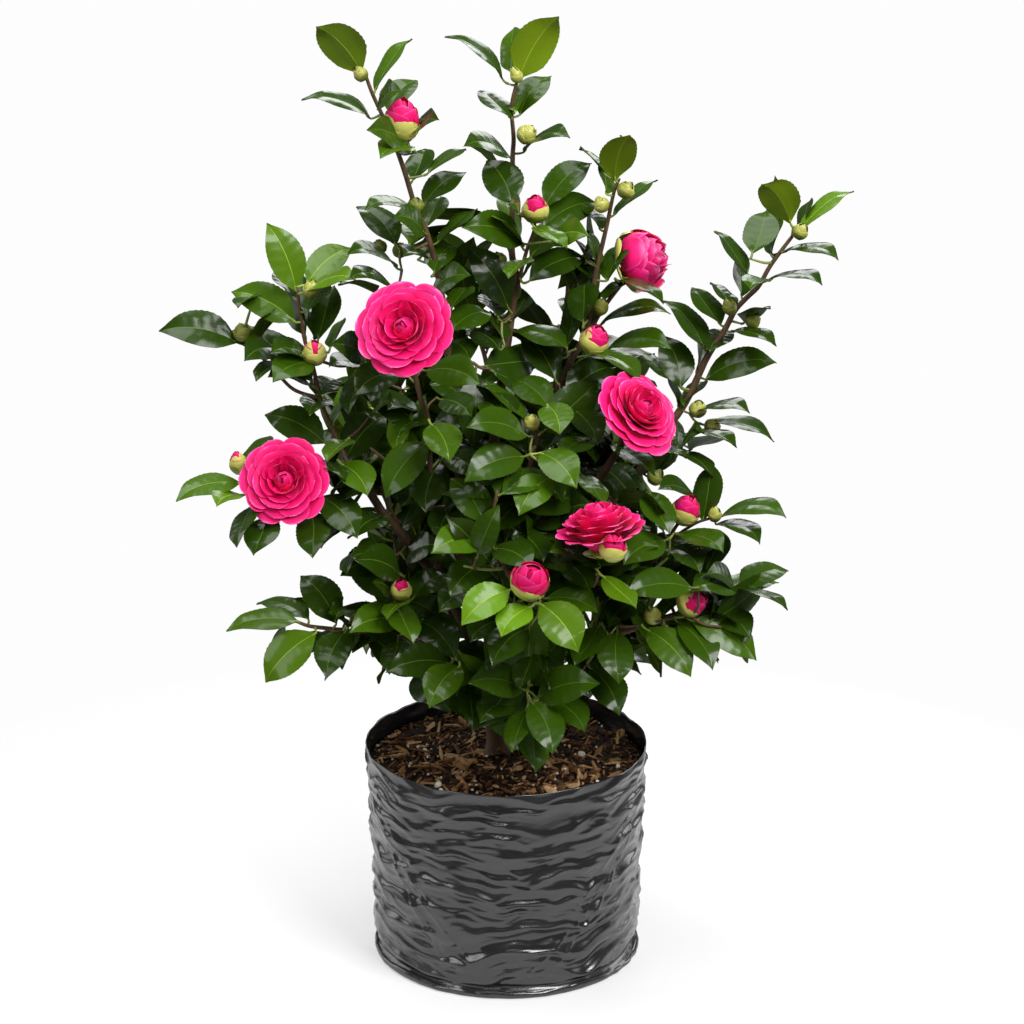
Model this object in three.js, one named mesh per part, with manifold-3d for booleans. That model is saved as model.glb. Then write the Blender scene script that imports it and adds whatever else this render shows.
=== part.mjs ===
// Camellia shrub in a black film grow bag.
//
// Millimetres, +Z up. The origin is the centre of the bag's flat underside, the
// plant's best side faces -Y and +X is to its right. The bag holds a disc of
// potting mix, a short trunk stands on the mix, tapering boughs leave the trunk
// and end where they enter the masses of foliage, and each mass is one uneven
// closed solid that reaches the tips of its leaves. Nothing moves.
import * as THREE from 'three';
import { mergeVertices } from 'three/addons/utils/BufferGeometryUtils.js';
import Module from 'manifold-3d';

const wasm = await Module();
wasm.setup();

// ---------------------------------------------------------------- dimensions
const GAP = 0.35;              // clearance kept between neighbouring solids

const BAG_BASE_RADIUS = 133;   // the bag widens slightly towards its rim
const BAG_RIM_RADIUS = 141.5;
const BAG_HEIGHT = 221;
const BAG_WALL = 1.8;          // thicker than film, so that it holds collision
const BAG_FLOOR = 2.6;
const BAG_WOBBLE = 1.1;        // how far the film stands in and out of round
const BAG_SIDES = 32;

const MIX_EDGE = 201;          // height of the mix at the film
const MIX_CENTRE = 208;        // and under the trunk, where it is level
const MIX_LEVEL_RADIUS = 24;

const TRUNK_FOOT = [-10, 0, MIX_CENTRE + GAP];
const TRUNK_TOP = [-14, 2, 330];
const TRUNK_BOW = [-1.5, -2, 0];
const TRUNK_FLARE_RADIUS = 14;
const TRUNK_RADIUS = 9.6;      // just above the root flare
const TRUNK_TOP_RADIUS = 7;
const FLARE_HEIGHT = 0.16;     // share of the trunk that the flare takes

const LIMB_SIDES = 6;

// Boughs: start on the trunk's axis, end inside the named mass, how far the
// middle bows away from the straight line, and the radii at both ends.
const BOUGHS = [
  { name: 'bough_leader', from: [-14, 2, 336], to: [-2, 4, 610], bow: [-8, 2, 0], r: [6.6, 4.6], into: 'foliage_upper_centre' },
  { name: 'bough_left', from: [-12, 0, 268], to: [-118, -60, 478], bow: [12, 4, 2], r: [6.2, 4.4], into: 'foliage_front_left' },
  { name: 'bough_upper_left', from: [-13, 1, 312], to: [-56, -22, 640], bow: [-8, 2, 0], r: [5.4, 3.6], into: 'foliage_upper_left' },
  { name: 'bough_right', from: [-11, 0, 284], to: [142, -2, 532], bow: [8, 0, -14], r: [6.2, 4.4], into: 'foliage_right_lower' },
  { name: 'bough_right_centre', from: [-13, 2, 320], to: [62, 0, 614], bow: [-6, 0, 2], r: [5.0, 3.6], into: 'foliage_right_centre' },
  { name: 'bough_bloom_right', from: [-12, -1, 300], to: [108, -62, 545], bow: [-4, 8, -4], r: [4.8, 3.6], into: 'foliage_bloom_right' },
  { name: 'bough_low_left', from: [-11, 0, 254], to: [-122, -57, 358], bow: [8, 0, 12], r: [4.4, 3.2], into: 'foliage_low_left' },
  { name: 'bough_low_right', from: [-11, 0, 250], to: [128, -58, 362], bow: [-4, 6, 8], r: [4.6, 3.2], into: 'foliage_low_right' },
  { name: 'bough_front', from: [-12, 0, 292], to: [-2, -92, 452], bow: [0, 10, 6], r: [4.6, 3.4], into: 'foliage_front_centre' },
  { name: 'bough_front_low', from: [-10, 0, 238], to: [4, -62, 292], bow: [0, 0, 4], r: [3.8, 2.8], into: 'foliage_skirt_front' },
  { name: 'bough_side_left', from: [-11, 1, 244], to: [-78, 14, 318], bow: [0, 0, 6], r: [4.0, 3.0], into: 'foliage_skirt_left' },
  { name: 'bough_side_right', from: [-11, 1, 258], to: [70, 10, 318], bow: [0, 0, 8], r: [4.0, 3.0], into: 'foliage_skirt_right' },
  { name: 'bough_back_left', from: [-13, 1, 304], to: [-104, 84, 480], bow: [14, -8, 6], r: [5.2, 3.8], into: 'foliage_back_left' },
  { name: 'bough_back_right', from: [-12, 1, 290], to: [90, 84, 474], bow: [-8, -8, 6], r: [5.2, 3.8], into: 'foliage_back_right' },
  { name: 'bough_back', from: [-13, 2, 322], to: [-6, 150, 476], bow: [0, -18, 16], r: [4.8, 3.6], into: 'foliage_back_centre' },
  { name: 'bough_back_low_left', from: [-11, 1, 262], to: [-62, 84, 334], bow: [2, 0, 6], r: [4.0, 3.0], into: 'foliage_back_low_left' },
  { name: 'bough_back_low_right', from: [-11, 1, 270], to: [58, 84, 338], bow: [-2, 0, 8], r: [4.0, 3.0], into: 'foliage_back_low_right' },
];

// Masses of foliage: each is laid along a line from its root end to its furthest
// tips. wide and deep are its half sizes across that line, sideways and front to
// back, bend bows its middle, and fine ones get more faces.
const MASSES = [
  { name: 'foliage_top_left', from: [-64, -14, 668], to: [-156, -30, 944], wide: 60, deep: 54, bend: [4, 0, 6] },
  { name: 'foliage_top_centre', from: [6, 14, 690], to: [26, 22, 946], wide: 53, deep: 54, bend: [-6, 4, 0] },
  { name: 'foliage_right_centre', from: [60, -4, 580], to: [116, -4, 843], wide: 42, deep: 48, bend: [6, 0, 0] },
  { name: 'foliage_right_top', from: [212, -2, 662], to: [306, 0, 806], wide: 60, deep: 56, bend: [-4, 0, 4] },
  { name: 'foliage_right_lower', from: [146, -2, 508], to: [232, -2, 680], wide: 58, deep: 56, bend: [4, 0, -4] },
  { name: 'foliage_left_shoot', from: [-160, -42, 556], to: [-216, -45, 762], wide: 55, deep: 50, bend: [-6, 0, 0] },
  { name: 'foliage_far_left', from: [-226, -34, 624], to: [-334, -22, 655], wide: 27, deep: 34, bend: [0, 0, 4] },
  { name: 'foliage_bloom_left', from: [-130, -58, 512], to: [-312, -94, 520], wide: 62, deep: 62, bend: [0, -4, -4] },
  { name: 'foliage_low_left', from: [-98, -46, 352], to: [-273, -86, 366], wide: 49, deep: 52, bend: [0, 0, 6] },
  { name: 'foliage_low_right', from: [106, -52, 350], to: [278, -90, 428], wide: 47, deep: 58, bend: [0, 0, -8] },
  { name: 'foliage_right_mid', from: [124, -42, 432], to: [268, -84, 492], wide: 38, deep: 52, bend: [0, 0, 4] },
  { name: 'foliage_bloom_right', from: [112, -60, 512], to: [148, -92, 656], wide: 68, deep: 60, bend: [0, -4, 0] },
  { name: 'foliage_front_right', from: [84, -92, 392], to: [88, -150, 542], wide: 66, deep: 62, bend: [0, -4, 0] },
  { name: 'foliage_front_centre', from: [4, -112, 374], to: [-4, -122, 552], wide: 74, deep: 84, bend: [0, -4, 0] },
  { name: 'foliage_front_left', from: [-98, -66, 456], to: [-80, -80, 622], wide: 66, deep: 62, bend: [-4, -4, 0] },
  { name: 'foliage_upper_left', from: [-92, -56, 612], to: [-86, -44, 738], wide: 62, deep: 64, bend: [0, -4, 0] },
  { name: 'foliage_upper_centre', from: [-4, -34, 566], to: [6, -18, 738], wide: 60, deep: 62, bend: [0, 0, 0] },
  { name: 'foliage_skirt_front', from: [14, -64, 230], to: [2, -84, 376], wide: 80, deep: 54, bend: [0, -6, 0] },
  { name: 'foliage_skirt_left', from: [-82, 12, 268], to: [-114, 14, 388], wide: 52, deep: 54, bend: [0, 0, 0] },
  { name: 'foliage_skirt_right', from: [82, 10, 258], to: [118, 12, 388], wide: 55, deep: 58, bend: [0, 0, 0] },
  { name: 'foliage_left_inner', from: [-112, 14, 404], to: [-140, 6, 566], wide: 58, deep: 58, bend: [0, 0, 0] },
  { name: 'foliage_right_inner', from: [96, 12, 400], to: [96, 14, 512], wide: 48, deep: 50, bend: [0, 0, 0] },
  { name: 'foliage_back_low_left', from: [-78, 108, 284], to: [-92, 130, 440], wide: 72, deep: 64, bend: [0, 4, 0] },
  { name: 'foliage_back_low_right', from: [74, 108, 286], to: [92, 130, 436], wide: 72, deep: 64, bend: [0, 4, 0] },
  { name: 'foliage_back_left', from: [-104, 88, 446], to: [-124, 96, 608], wide: 70, deep: 70, bend: [0, 4, 0] },
  { name: 'foliage_back_right', from: [90, 88, 440], to: [120, 94, 602], wide: 70, deep: 70, bend: [0, 4, 0] },
  { name: 'foliage_back_centre', from: [-8, 168, 356], to: [-6, 196, 566], wide: 76, deep: 66, bend: [0, 6, 0] },
  { name: 'foliage_back_upper_left', from: [-62, 56, 596], to: [-62, 62, 722], wide: 62, deep: 60, bend: [0, 0, 0] },
  { name: 'foliage_back_upper_right', from: [54, 60, 584], to: [58, 64, 714], wide: 66, deep: 58, bend: [0, 0, 0] },
];

const MASS_UNEVEN = 0.19;      // share of its size by which a mass swells and dips

// ---------------------------------------------------------------- materials
const finish = (color, roughness) => new THREE.MeshStandardMaterial({ color, roughness, metalness: 0 });
const FILM = finish(0x2b2b2d, 0.32);
const MIX = finish(0x3c2a1c, 0.95);
const BARK = finish(0x6a5138, 0.85);
const LEAF = [0x1f4a14, 0x2a5c1a, 0x356d20].map((c) => finish(c, 0.4));

// ---------------------------------------------------------------- helpers
const vec = (a) => new THREE.Vector3(a[0], a[1], a[2]);

// A closed mesh with merged corners, its faces turned outwards.
function closed(geometry) {
  for (const key of Object.keys(geometry.attributes)) if (key !== 'position') geometry.deleteAttribute(key);
  const g = mergeVertices(geometry, 1e-4);
  const p = g.attributes.position;
  const index = Array.from(g.index.array);
  const faces = [];
  let volume = 0;
  const a = new THREE.Vector3(), b = new THREE.Vector3(), c = new THREE.Vector3();
  for (let i = 0; i < index.length; i += 3) {
    const [u, v, w] = [index[i], index[i + 1], index[i + 2]];
    if (u === v || v === w || u === w) continue;
    a.fromBufferAttribute(p, u); b.fromBufferAttribute(p, v); c.fromBufferAttribute(p, w);
    volume += a.dot(b.clone().cross(c));
    faces.push(u, v, w);
  }
  if (volume < 0) for (let i = 0; i < faces.length; i += 3) [faces[i], faces[i + 1]] = [faces[i + 1], faces[i]];
  g.setIndex(faces);
  return g;
}

function toSolid(geometry) {
  const g = closed(geometry);
  return new wasm.Manifold(new wasm.Mesh({
    numProp: 3,
    vertProperties: new Float32Array(g.attributes.position.array),
    triVerts: new Uint32Array(g.index.array),
  }));
}

function toGeometry(solid) {
  const m = solid.getMesh();
  const g = new THREE.BufferGeometry();
  const points = new Float32Array(m.numVert * 3);
  for (let i = 0; i < m.numVert; i++) for (let k = 0; k < 3; k++) points[3 * i + k] = m.vertProperties[i * m.numProp + k];
  g.setAttribute('position', new THREE.BufferAttribute(points, 3));
  g.setIndex(Array.from(m.triVerts));
  return g;
}

// The body of a cut solid that lies nearest to a point.
function bodyNear(solid, point) {
  const bodies = solid.decompose().filter((b) => b.volume() > 60);
  let best = null, least = Infinity;
  for (const body of bodies) {
    const m = body.getMesh();
    for (let i = 0; i < m.numVert; i++) {
      const d = Math.hypot(...[0, 1, 2].map((k) => m.vertProperties[i * m.numProp + k] - point[k]));
      if (d < least) { least = d; best = body; }
    }
  }
  return best;
}

function largest(solid) {
  return solid.decompose().reduce((a, b) => (b.volume() > a.volume() ? b : a));
}

// A slow wave over directions that makes a form uneven, the same each time.
function unevenness(seed) {
  const waves = [];
  let s = seed * 16807 + 11;
  const next = () => { s = (s * 48271) % 2147483647; return s / 2147483647; };
  for (let i = 0; i < 5; i++) {
    const dir = new THREE.Vector3(next() - 0.5, next() - 0.5, next() - 0.5).normalize();
    waves.push([dir.multiplyScalar(1.6 + 1.5 * i), next() * 6.28, 1 / (1 + 0.5 * i)]);
  }
  return (d) => waves.reduce((sum, [w, phase, weight]) => sum + weight * Math.sin(w.dot(d) + phase), 0) / 2.2;
}

// A tapering limb: a cylinder bent along a curve, its rings square to the curve.
function limb({ from, to, bow, r }, grow = 0, steps = 4) {
  const a = vec(from), b = vec(to);
  const middle = a.clone().add(b).multiplyScalar(0.5).add(vec(bow).multiplyScalar(2));
  const curve = new THREE.QuadraticBezierCurve3(a, middle, b);
  const g = new THREE.CylinderGeometry(1, 1, 1, LIMB_SIDES, steps);
  const p = g.attributes.position;
  const side = new THREE.Vector3(), up = new THREE.Vector3();
  for (let i = 0; i < p.count; i++) {
    const t = p.getY(i) + 0.5;
    const tangent = curve.getTangent(t);
    side.set(0.31, 0.95, 0).cross(tangent).normalize();
    up.copy(tangent).cross(side).normalize();
    const radius = r[0] + (r[1] - r[0]) * t + grow;
    const at = curve.getPoint(t)
      .addScaledVector(side, p.getX(i) * radius)
      .addScaledVector(up, p.getZ(i) * radius);
    p.setXYZ(i, at.x, at.y, at.z);
  }
  return toSolid(g);
}

// The trunk: level rings from its flat cut up to the fork, with a root flare.
function trunkSolid(grow = 0) {
  const a = vec(TRUNK_FOOT), b = vec(TRUNK_TOP);
  const g = new THREE.CylinderGeometry(1, 1, 1, 10, 9);
  const p = g.attributes.position;
  for (let i = 0; i < p.count; i++) {
    const t = p.getY(i) + 0.5;
    const flare = Math.max(0, 1 - t / FLARE_HEIGHT);
    const turn = Math.atan2(p.getZ(i), p.getX(i));
    const ribs = 1 + 0.22 * flare * Math.cos(3 * turn + 0.6);
    const wide = TRUNK_RADIUS + (TRUNK_TOP_RADIUS - TRUNK_RADIUS) * t + (TRUNK_FLARE_RADIUS - TRUNK_RADIUS) * flare * flare;
    const radius = Math.hypot(p.getX(i), p.getZ(i)) * (wide * ribs + grow);
    const bowed = 4 * t * (1 - t);
    p.setXYZ(i,
      a.x + (b.x - a.x) * t + TRUNK_BOW[0] * bowed + radius * Math.cos(turn),
      a.y + (b.y - a.y) * t + TRUNK_BOW[1] * bowed + radius * Math.sin(turn),
      a.z + (b.z - a.z) * t);
  }
  return toSolid(g);
}

// One mass of foliage: a sphere stretched along its line, bent and made uneven.
function massSolid({ from, to, wide, deep, bend, fine }, seed) {
  const a = vec(from), b = vec(to);
  const centre = a.clone().add(b).multiplyScalar(0.5);
  const along = b.clone().sub(a).multiplyScalar(0.5);
  const half = along.length();
  along.normalize();
  const back = new THREE.Vector3(0, 1, 0).addScaledVector(along, -along.y).normalize();
  const side = back.clone().cross(along).normalize();
  const g = new THREE.IcosahedronGeometry(1, fine ? 3 : 2);
  const p = g.attributes.position;
  const wave = unevenness(seed);
  const d = new THREE.Vector3();
  for (let i = 0; i < p.count; i++) {
    d.fromBufferAttribute(p, i).normalize();
    const t = d.z;                                   // -1 at the root end, 1 at the tips
    const swell = (1 + MASS_UNEVEN * wave(d)) * (1 + 0.12 * (1 - t * t)) * (1 - 0.10 * t * (1 - t * t));
    const lengthwise = half * t * (1 + 0.3 * MASS_UNEVEN * (1 - t * t) * wave(d));
    const at = centre.clone()
      .addScaledVector(along, lengthwise)
      .addScaledVector(side, d.x * wide * swell * 0.93)
      .addScaledVector(back, d.y * deep * swell * 0.93)
      .addScaledVector(vec(bend), 1 - t * t);
    p.setXYZ(i, at.x, at.y, at.z);
  }
  return toSolid(g);
}

// Furthest reach of a solid from a point along a direction.
function reach(solid, from, n) {
  const m = solid.getMesh();
  let far = -Infinity;
  for (let i = 0; i < m.numVert; i++) {
    const v = m.vertProperties, k = i * m.numProp;
    far = Math.max(far, (v[k] - from.x) * n.x + (v[k + 1] - from.y) * n.y + (v[k + 2] - from.z) * n.z);
  }
  return far;
}

// Neighbouring masses meet at a flat face half way between their surfaces.
function share(entries) {
  const pairs = [];
  for (let i = 0; i < entries.length; i++) {
    for (let j = i + 1; j < entries.length; j++) {
      const A = entries[i], B = entries[j];
      if (A.whole.intersect(B.whole).volume() < 0.5) continue;
      const n = B.centre.clone().sub(A.centre);
      const apart = n.length();
      n.normalize();
      const ra = reach(A.whole, A.centre, n), rb = reach(B.whole, B.centre, n.clone().negate());
      const cut = Math.min(0.72, Math.max(0.28, 0.5 + (ra - rb) / (2 * apart))) * apart;
      pairs.push([A, B, n, A.centre.dot(n) + cut]);
    }
  }
  for (const [A, B, n, at] of pairs) {
    A.solid = A.solid.trimByPlane([-n.x, -n.y, -n.z], -(at - GAP / 2));
    B.solid = B.solid.trimByPlane([n.x, n.y, n.z], at + GAP / 2);
  }
}

// ---------------------------------------------------------------- bag and mix
function filmWave(angle, z) {
  return BAG_WOBBLE * (0.5 * Math.sin(3 * angle + 0.4 + z * 0.006) + 0.35 * Math.sin(5 * angle - 1.1 + z * 0.011) + 0.3 * Math.sin(9 * angle + z * 0.02));
}

// A turned profile stood upright, its wall pushed in and out by the film's wave.
function turned(profile, sides) {
  const g = new THREE.LatheGeometry(profile.map(([r, z]) => new THREE.Vector2(r, z)), sides);
  g.rotateX(Math.PI / 2);
  const p = g.attributes.position;
  for (let i = 0; i < p.count; i++) {
    const x = p.getX(i), y = p.getY(i), z = p.getZ(i);
    const radius = Math.hypot(x, y);
    if (radius < 40) continue;
    const angle = Math.round(Math.atan2(y, x) * sides / (2 * Math.PI)) * 2 * Math.PI / sides;
    const pushed = radius + filmWave(angle, z) * Math.min(1, (radius - 40) / 80);
    p.setXYZ(i, pushed * Math.cos(angle), pushed * Math.sin(angle), z);
  }
  return closed(g);
}

const bagRadius = (z) => BAG_BASE_RADIUS + (BAG_RIM_RADIUS - BAG_BASE_RADIUS) * z / BAG_HEIGHT;

function bag() {
  const levels = [0, 6, 75, 150, BAG_HEIGHT];
  const outer = levels.map((z) => [bagRadius(z) - (z === 0 ? 1.5 : 0), z]);
  const inner = [BAG_HEIGHT, 150, 75, BAG_FLOOR + 4, BAG_FLOOR].map((z) => [bagRadius(z) - BAG_WALL - (z === BAG_FLOOR ? 1.5 : 0), z]);
  return turned([[0, 0], ...outer, ...inner, [0, BAG_FLOOR]], BAG_SIDES);
}

function mix() {
  const inside = (z) => bagRadius(z) - BAG_WALL - GAP - 0.25;
  const floor = BAG_FLOOR + GAP;
  return turned([
    [0, floor], [inside(floor) - 2, floor], [inside(floor + 5), floor + 5], [inside(100), 100], [inside(MIX_EDGE), MIX_EDGE],
    [100, MIX_EDGE + 1.5], [62, MIX_CENTRE - 2.5], [MIX_LEVEL_RADIUS, MIX_CENTRE], [0, MIX_CENTRE],
  ], BAG_SIDES);
}

// ---------------------------------------------------------------- the plant
const camellia = new THREE.Group();
camellia.name = 'camellia_in_bag';

function add(name, geometry, material) {
  const mesh = new THREE.Mesh(geometry, material);
  mesh.name = name;
  camellia.add(mesh);
}

add('grow_bag', bag(), FILM);
add('potting_mix', mix(), MIX);
add('trunk', toGeometry(trunkSolid()), BARK);

const masses = MASSES.map((m, i) => {
  const whole = massSolid(m, i + 3);
  return { ...m, whole, solid: whole, centre: vec(m.from).add(vec(m.to)).multiplyScalar(0.5) };
});
share(masses);

// Boughs leave the trunk one after another, each cut round those before it, and
// end at the face of the mass they enter. A mass they only pass is cut round them.
let placed = trunkSolid(GAP);
for (const b of BOUGHS) {
  const end = masses.find((m) => m.name === b.into);
  const body = limb(b).subtract(placed).subtract(end.solid);
  const near = vec(b.from).lerp(vec(b.to), 0.3);
  b.solid = bodyNear(body, [near.x, near.y, near.z]);
  const grown = limb(b, GAP);
  const passed = limb(b, GAP + 0.6);
  for (const m of masses) if (m !== end && m.solid.intersect(passed).volume() > 0.01) m.solid = m.solid.subtract(passed);
  placed = placed.add(grown);
}
const trunkRoom = trunkSolid(GAP + 0.6);
for (const m of masses) {
  if (m.solid.intersect(trunkRoom).volume() > 0.01) m.solid = m.solid.subtract(trunkRoom);
  m.solid = largest(m.solid);
}
for (const b of BOUGHS) {
  const end = masses.find((m) => m.name === b.into);
  const touch = end.solid.translate([0, 0, 0]);
  if (b.solid.intersect(touch).volume() > 0.001) b.solid = largest(b.solid.subtract(touch));
}

// A sliver of air between each bough's end and the mass that it enters.
for (const b of BOUGHS) {
  const end = masses.find((m) => m.name === b.into);
  const d = vec(b.to).sub(vec(b.from)).normalize().multiplyScalar(GAP);
  const shifted = end.solid.translate([-d.x, -d.y, -d.z]);
  b.solid = bodyNear(b.solid.subtract(shifted), b.from);
  add(b.name, toGeometry(b.solid), BARK);
}
masses.forEach((m, i) => add(m.name, toGeometry(m.solid), LEAF[i % LEAF.length]));

export default camellia;
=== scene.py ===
# Camellia shrub in a black film grow bag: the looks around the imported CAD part.
# Lengths in the tables are millimetres in the part's own frame, +Z up, best side to -Y.
import math

import bpy
import numpy as np
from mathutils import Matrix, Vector, noise
from mathutils.bvhtree import BVHTree


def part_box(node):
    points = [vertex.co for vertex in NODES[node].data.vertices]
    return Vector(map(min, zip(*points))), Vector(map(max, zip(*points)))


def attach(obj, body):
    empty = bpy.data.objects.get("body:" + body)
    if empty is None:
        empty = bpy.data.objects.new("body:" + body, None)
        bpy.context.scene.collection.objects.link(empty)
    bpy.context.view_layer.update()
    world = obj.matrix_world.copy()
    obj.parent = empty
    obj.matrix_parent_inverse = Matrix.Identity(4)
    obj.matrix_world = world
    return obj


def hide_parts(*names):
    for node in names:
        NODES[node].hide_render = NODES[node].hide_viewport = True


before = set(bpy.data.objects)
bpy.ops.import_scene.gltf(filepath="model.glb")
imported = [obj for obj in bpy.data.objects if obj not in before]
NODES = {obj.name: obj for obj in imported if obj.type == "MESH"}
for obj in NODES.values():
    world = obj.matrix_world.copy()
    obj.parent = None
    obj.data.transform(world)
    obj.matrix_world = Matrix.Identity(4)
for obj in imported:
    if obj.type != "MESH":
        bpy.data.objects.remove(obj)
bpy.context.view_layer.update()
MM = 0.001
GOLDEN = math.radians(137.508)
rng = np.random.default_rng(41)
UP = np.array([0.0, 0.0, 1.0])


# ------------------------------------------------------------------ small tools
def unit(a):
    a = np.asarray(a, float)
    return a / max(float(np.linalg.norm(a)), 1e-9)


def cross(a, b):
    return np.array([a[1] * b[2] - a[2] * b[1], a[2] * b[0] - a[0] * b[2], a[0] * b[1] - a[1] * b[0]])


def square_to(n, d):
    """The part of n that is square to d, as a unit vector."""
    n = np.asarray(n, float) - np.dot(n, d) * d
    if np.linalg.norm(n) < 1e-4:
        n = cross(d, np.array([0.3, 0.9, 0.2]))
    return unit(n)


def turn(v, axis, angle):
    c, s = math.cos(angle), math.sin(angle)
    return v * c + cross(axis, v) * s + axis * np.dot(axis, v) * (1 - c)


def sm(x, a, b):
    """Smooth step from 0 at a to 1 at b."""
    t = np.clip((np.asarray(x, float) - a) / (b - a), 0, 1)
    return t * t * (3 - 2 * t)


def wob(x, y, z):
    return noise.noise(Vector((x, y, z)))


def path(points, step=4.0):
    """A smooth line through the points, with even steps."""
    p = np.asarray(points, float)
    if len(p) == 2:
        p = np.array([p[0], (p[0] + p[1]) / 2, p[1]])
    e = np.vstack([2 * p[0] - p[1], p, 2 * p[-1] - p[-2]])
    out = []
    for i in range(1, len(e) - 2):
        a, b, c, d = e[i - 1], e[i], e[i + 1], e[i + 2]
        for t in np.linspace(0, 1, 10, endpoint=False):
            out.append(0.5 * (2 * b + (c - a) * t + (2 * a - 5 * b + 4 * c - d) * t * t + (3 * b - a - 3 * c + d) * t ** 3))
    out.append(p[-1])
    out = np.array(out)
    s = np.concatenate([[0], np.cumsum(np.linalg.norm(np.diff(out, axis=0), axis=1))])
    n = max(3, int(round(s[-1] / step)) + 1)
    want = np.linspace(0, s[-1], n)
    return np.stack([np.interp(want, s, out[:, k]) for k in range(3)], 1)


def bowed(a, b, bow, step=4.0):
    """The line of a CAD bough: a bow between two points."""
    a, b = np.asarray(a, float), np.asarray(b, float)
    m = (a + b) / 2 + 2 * np.asarray(bow, float)
    t = np.linspace(0, 1, max(4, int(np.linalg.norm(b - a) / step)))[:, None]
    return (1 - t) ** 2 * a + 2 * t * (1 - t) * m + t * t * b


class Heap:
    """Faces of many small things, joined into one mesh."""

    def __init__(self):
        self.v, self.q, self.t, self.qm, self.tm, self.a, self.n = [], [], [], [], [], [], 0

    def add(self, verts, quads=None, tris=None, qm=0, tm=0, attr=None):
        verts = np.asarray(verts, float).reshape(-1, 3)
        if quads is not None and len(quads):
            quads = np.asarray(quads, np.int64)
            self.q.append(quads + self.n)
            self.qm.append(np.broadcast_to(np.asarray(qm, np.int64), (len(quads),)))
        if tris is not None and len(tris):
            tris = np.asarray(tris, np.int64)
            self.t.append(tris + self.n)
            self.tm.append(np.broadcast_to(np.asarray(tm, np.int64), (len(tris),)))
        self.v.append(verts)
        self.a.append(np.zeros(len(verts)) if attr is None else np.asarray(attr, float))
        self.n += len(verts)

    def faces(self):
        return 2 * sum(len(x) for x in self.q) + sum(len(x) for x in self.t)

    def make(self, name, mats, smooth=True, attr=None):
        v = np.concatenate(self.v) * MM
        q = np.concatenate(self.q) if self.q else np.zeros((0, 4), np.int64)
        t = np.concatenate(self.t) if self.t else np.zeros((0, 3), np.int64)
        me = bpy.data.meshes.new(name)
        me.vertices.add(len(v))
        me.vertices.foreach_set("co", v.ravel())
        loops = np.concatenate([q.ravel(), t.ravel()]).astype(np.int32)
        me.loops.add(len(loops))
        me.loops.foreach_set("vertex_index", loops)
        me.polygons.add(len(q) + len(t))
        starts = np.concatenate([np.arange(len(q)) * 4, len(q) * 4 + np.arange(len(t)) * 3]).astype(np.int32)
        me.polygons.foreach_set("loop_start", starts)
        m = np.concatenate((self.qm if self.q else []) + (self.tm if self.t else [])).astype(np.int32)
        me.polygons.foreach_set("material_index", m)
        me.polygons.foreach_set("use_smooth", np.full(len(m), smooth))
        me.update(calc_edges=True)
        me.validate()
        if attr:
            layer = me.attributes.new(attr, "FLOAT", "POINT")
            layer.data.foreach_set("value", np.concatenate(self.a).astype(np.float32))
        for mat in mats:
            me.materials.append(mat)
        ob = bpy.data.objects.new(name, me)
        bpy.context.scene.collection.objects.link(ob)
        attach(ob, "root")
        return ob


def grid(rows, cols):
    i = np.arange(rows - 1)[:, None] * cols + np.arange(cols - 1)[None, :]
    i = i.ravel()
    return np.stack([i, i + 1, i + cols + 1, i + cols], 1)


# ------------------------------------------------------------------ materials
def tree_of(name):
    m = bpy.data.materials.new(name)
    m.use_nodes = True
    return m, m.node_tree.nodes, m.node_tree.links, m.node_tree.nodes["Principled BSDF"]


def coords(nodes, links, scale):
    tc = nodes.new("ShaderNodeTexCoord")
    mp = nodes.new("ShaderNodeMapping")
    mp.inputs["Scale"].default_value = scale
    links.new(tc.outputs["Object"], mp.inputs["Vector"])
    return mp.outputs["Vector"]


def noise_node(nodes, links, vec, scale, detail=3.0, rough=0.55):
    n = nodes.new("ShaderNodeTexNoise")
    n.inputs["Scale"].default_value = scale
    n.inputs["Detail"].default_value = detail
    n.inputs["Roughness"].default_value = rough
    links.new(vec, n.inputs["Vector"])
    return n.outputs["Fac"]


def ranged(nodes, links, fac, lo, hi, a=0.3, b=0.7):
    r = nodes.new("ShaderNodeMapRange")
    r.inputs["From Min"].default_value = a
    r.inputs["From Max"].default_value = b
    r.inputs["To Min"].default_value = lo
    r.inputs["To Max"].default_value = hi
    links.new(fac, r.inputs["Value"])
    return r.outputs["Result"]


def ramp(nodes, links, fac, stops):
    r = nodes.new("ShaderNodeValToRGB")
    e = r.color_ramp.elements
    while len(e) < len(stops):
        e.new(0.5)
    for x, (p, c) in zip(e, stops):
        x.position = p
        x.color = (*c, 1)
    links.new(fac, r.inputs["Fac"])
    return r.outputs["Color"]


def bump(nodes, links, p, height, strength, distance):
    b = nodes.new("ShaderNodeBump")
    b.inputs["Strength"].default_value = strength
    b.inputs["Distance"].default_value = distance
    links.new(height, b.inputs["Height"])
    links.new(b.outputs["Normal"], p.inputs["Normal"])


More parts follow.
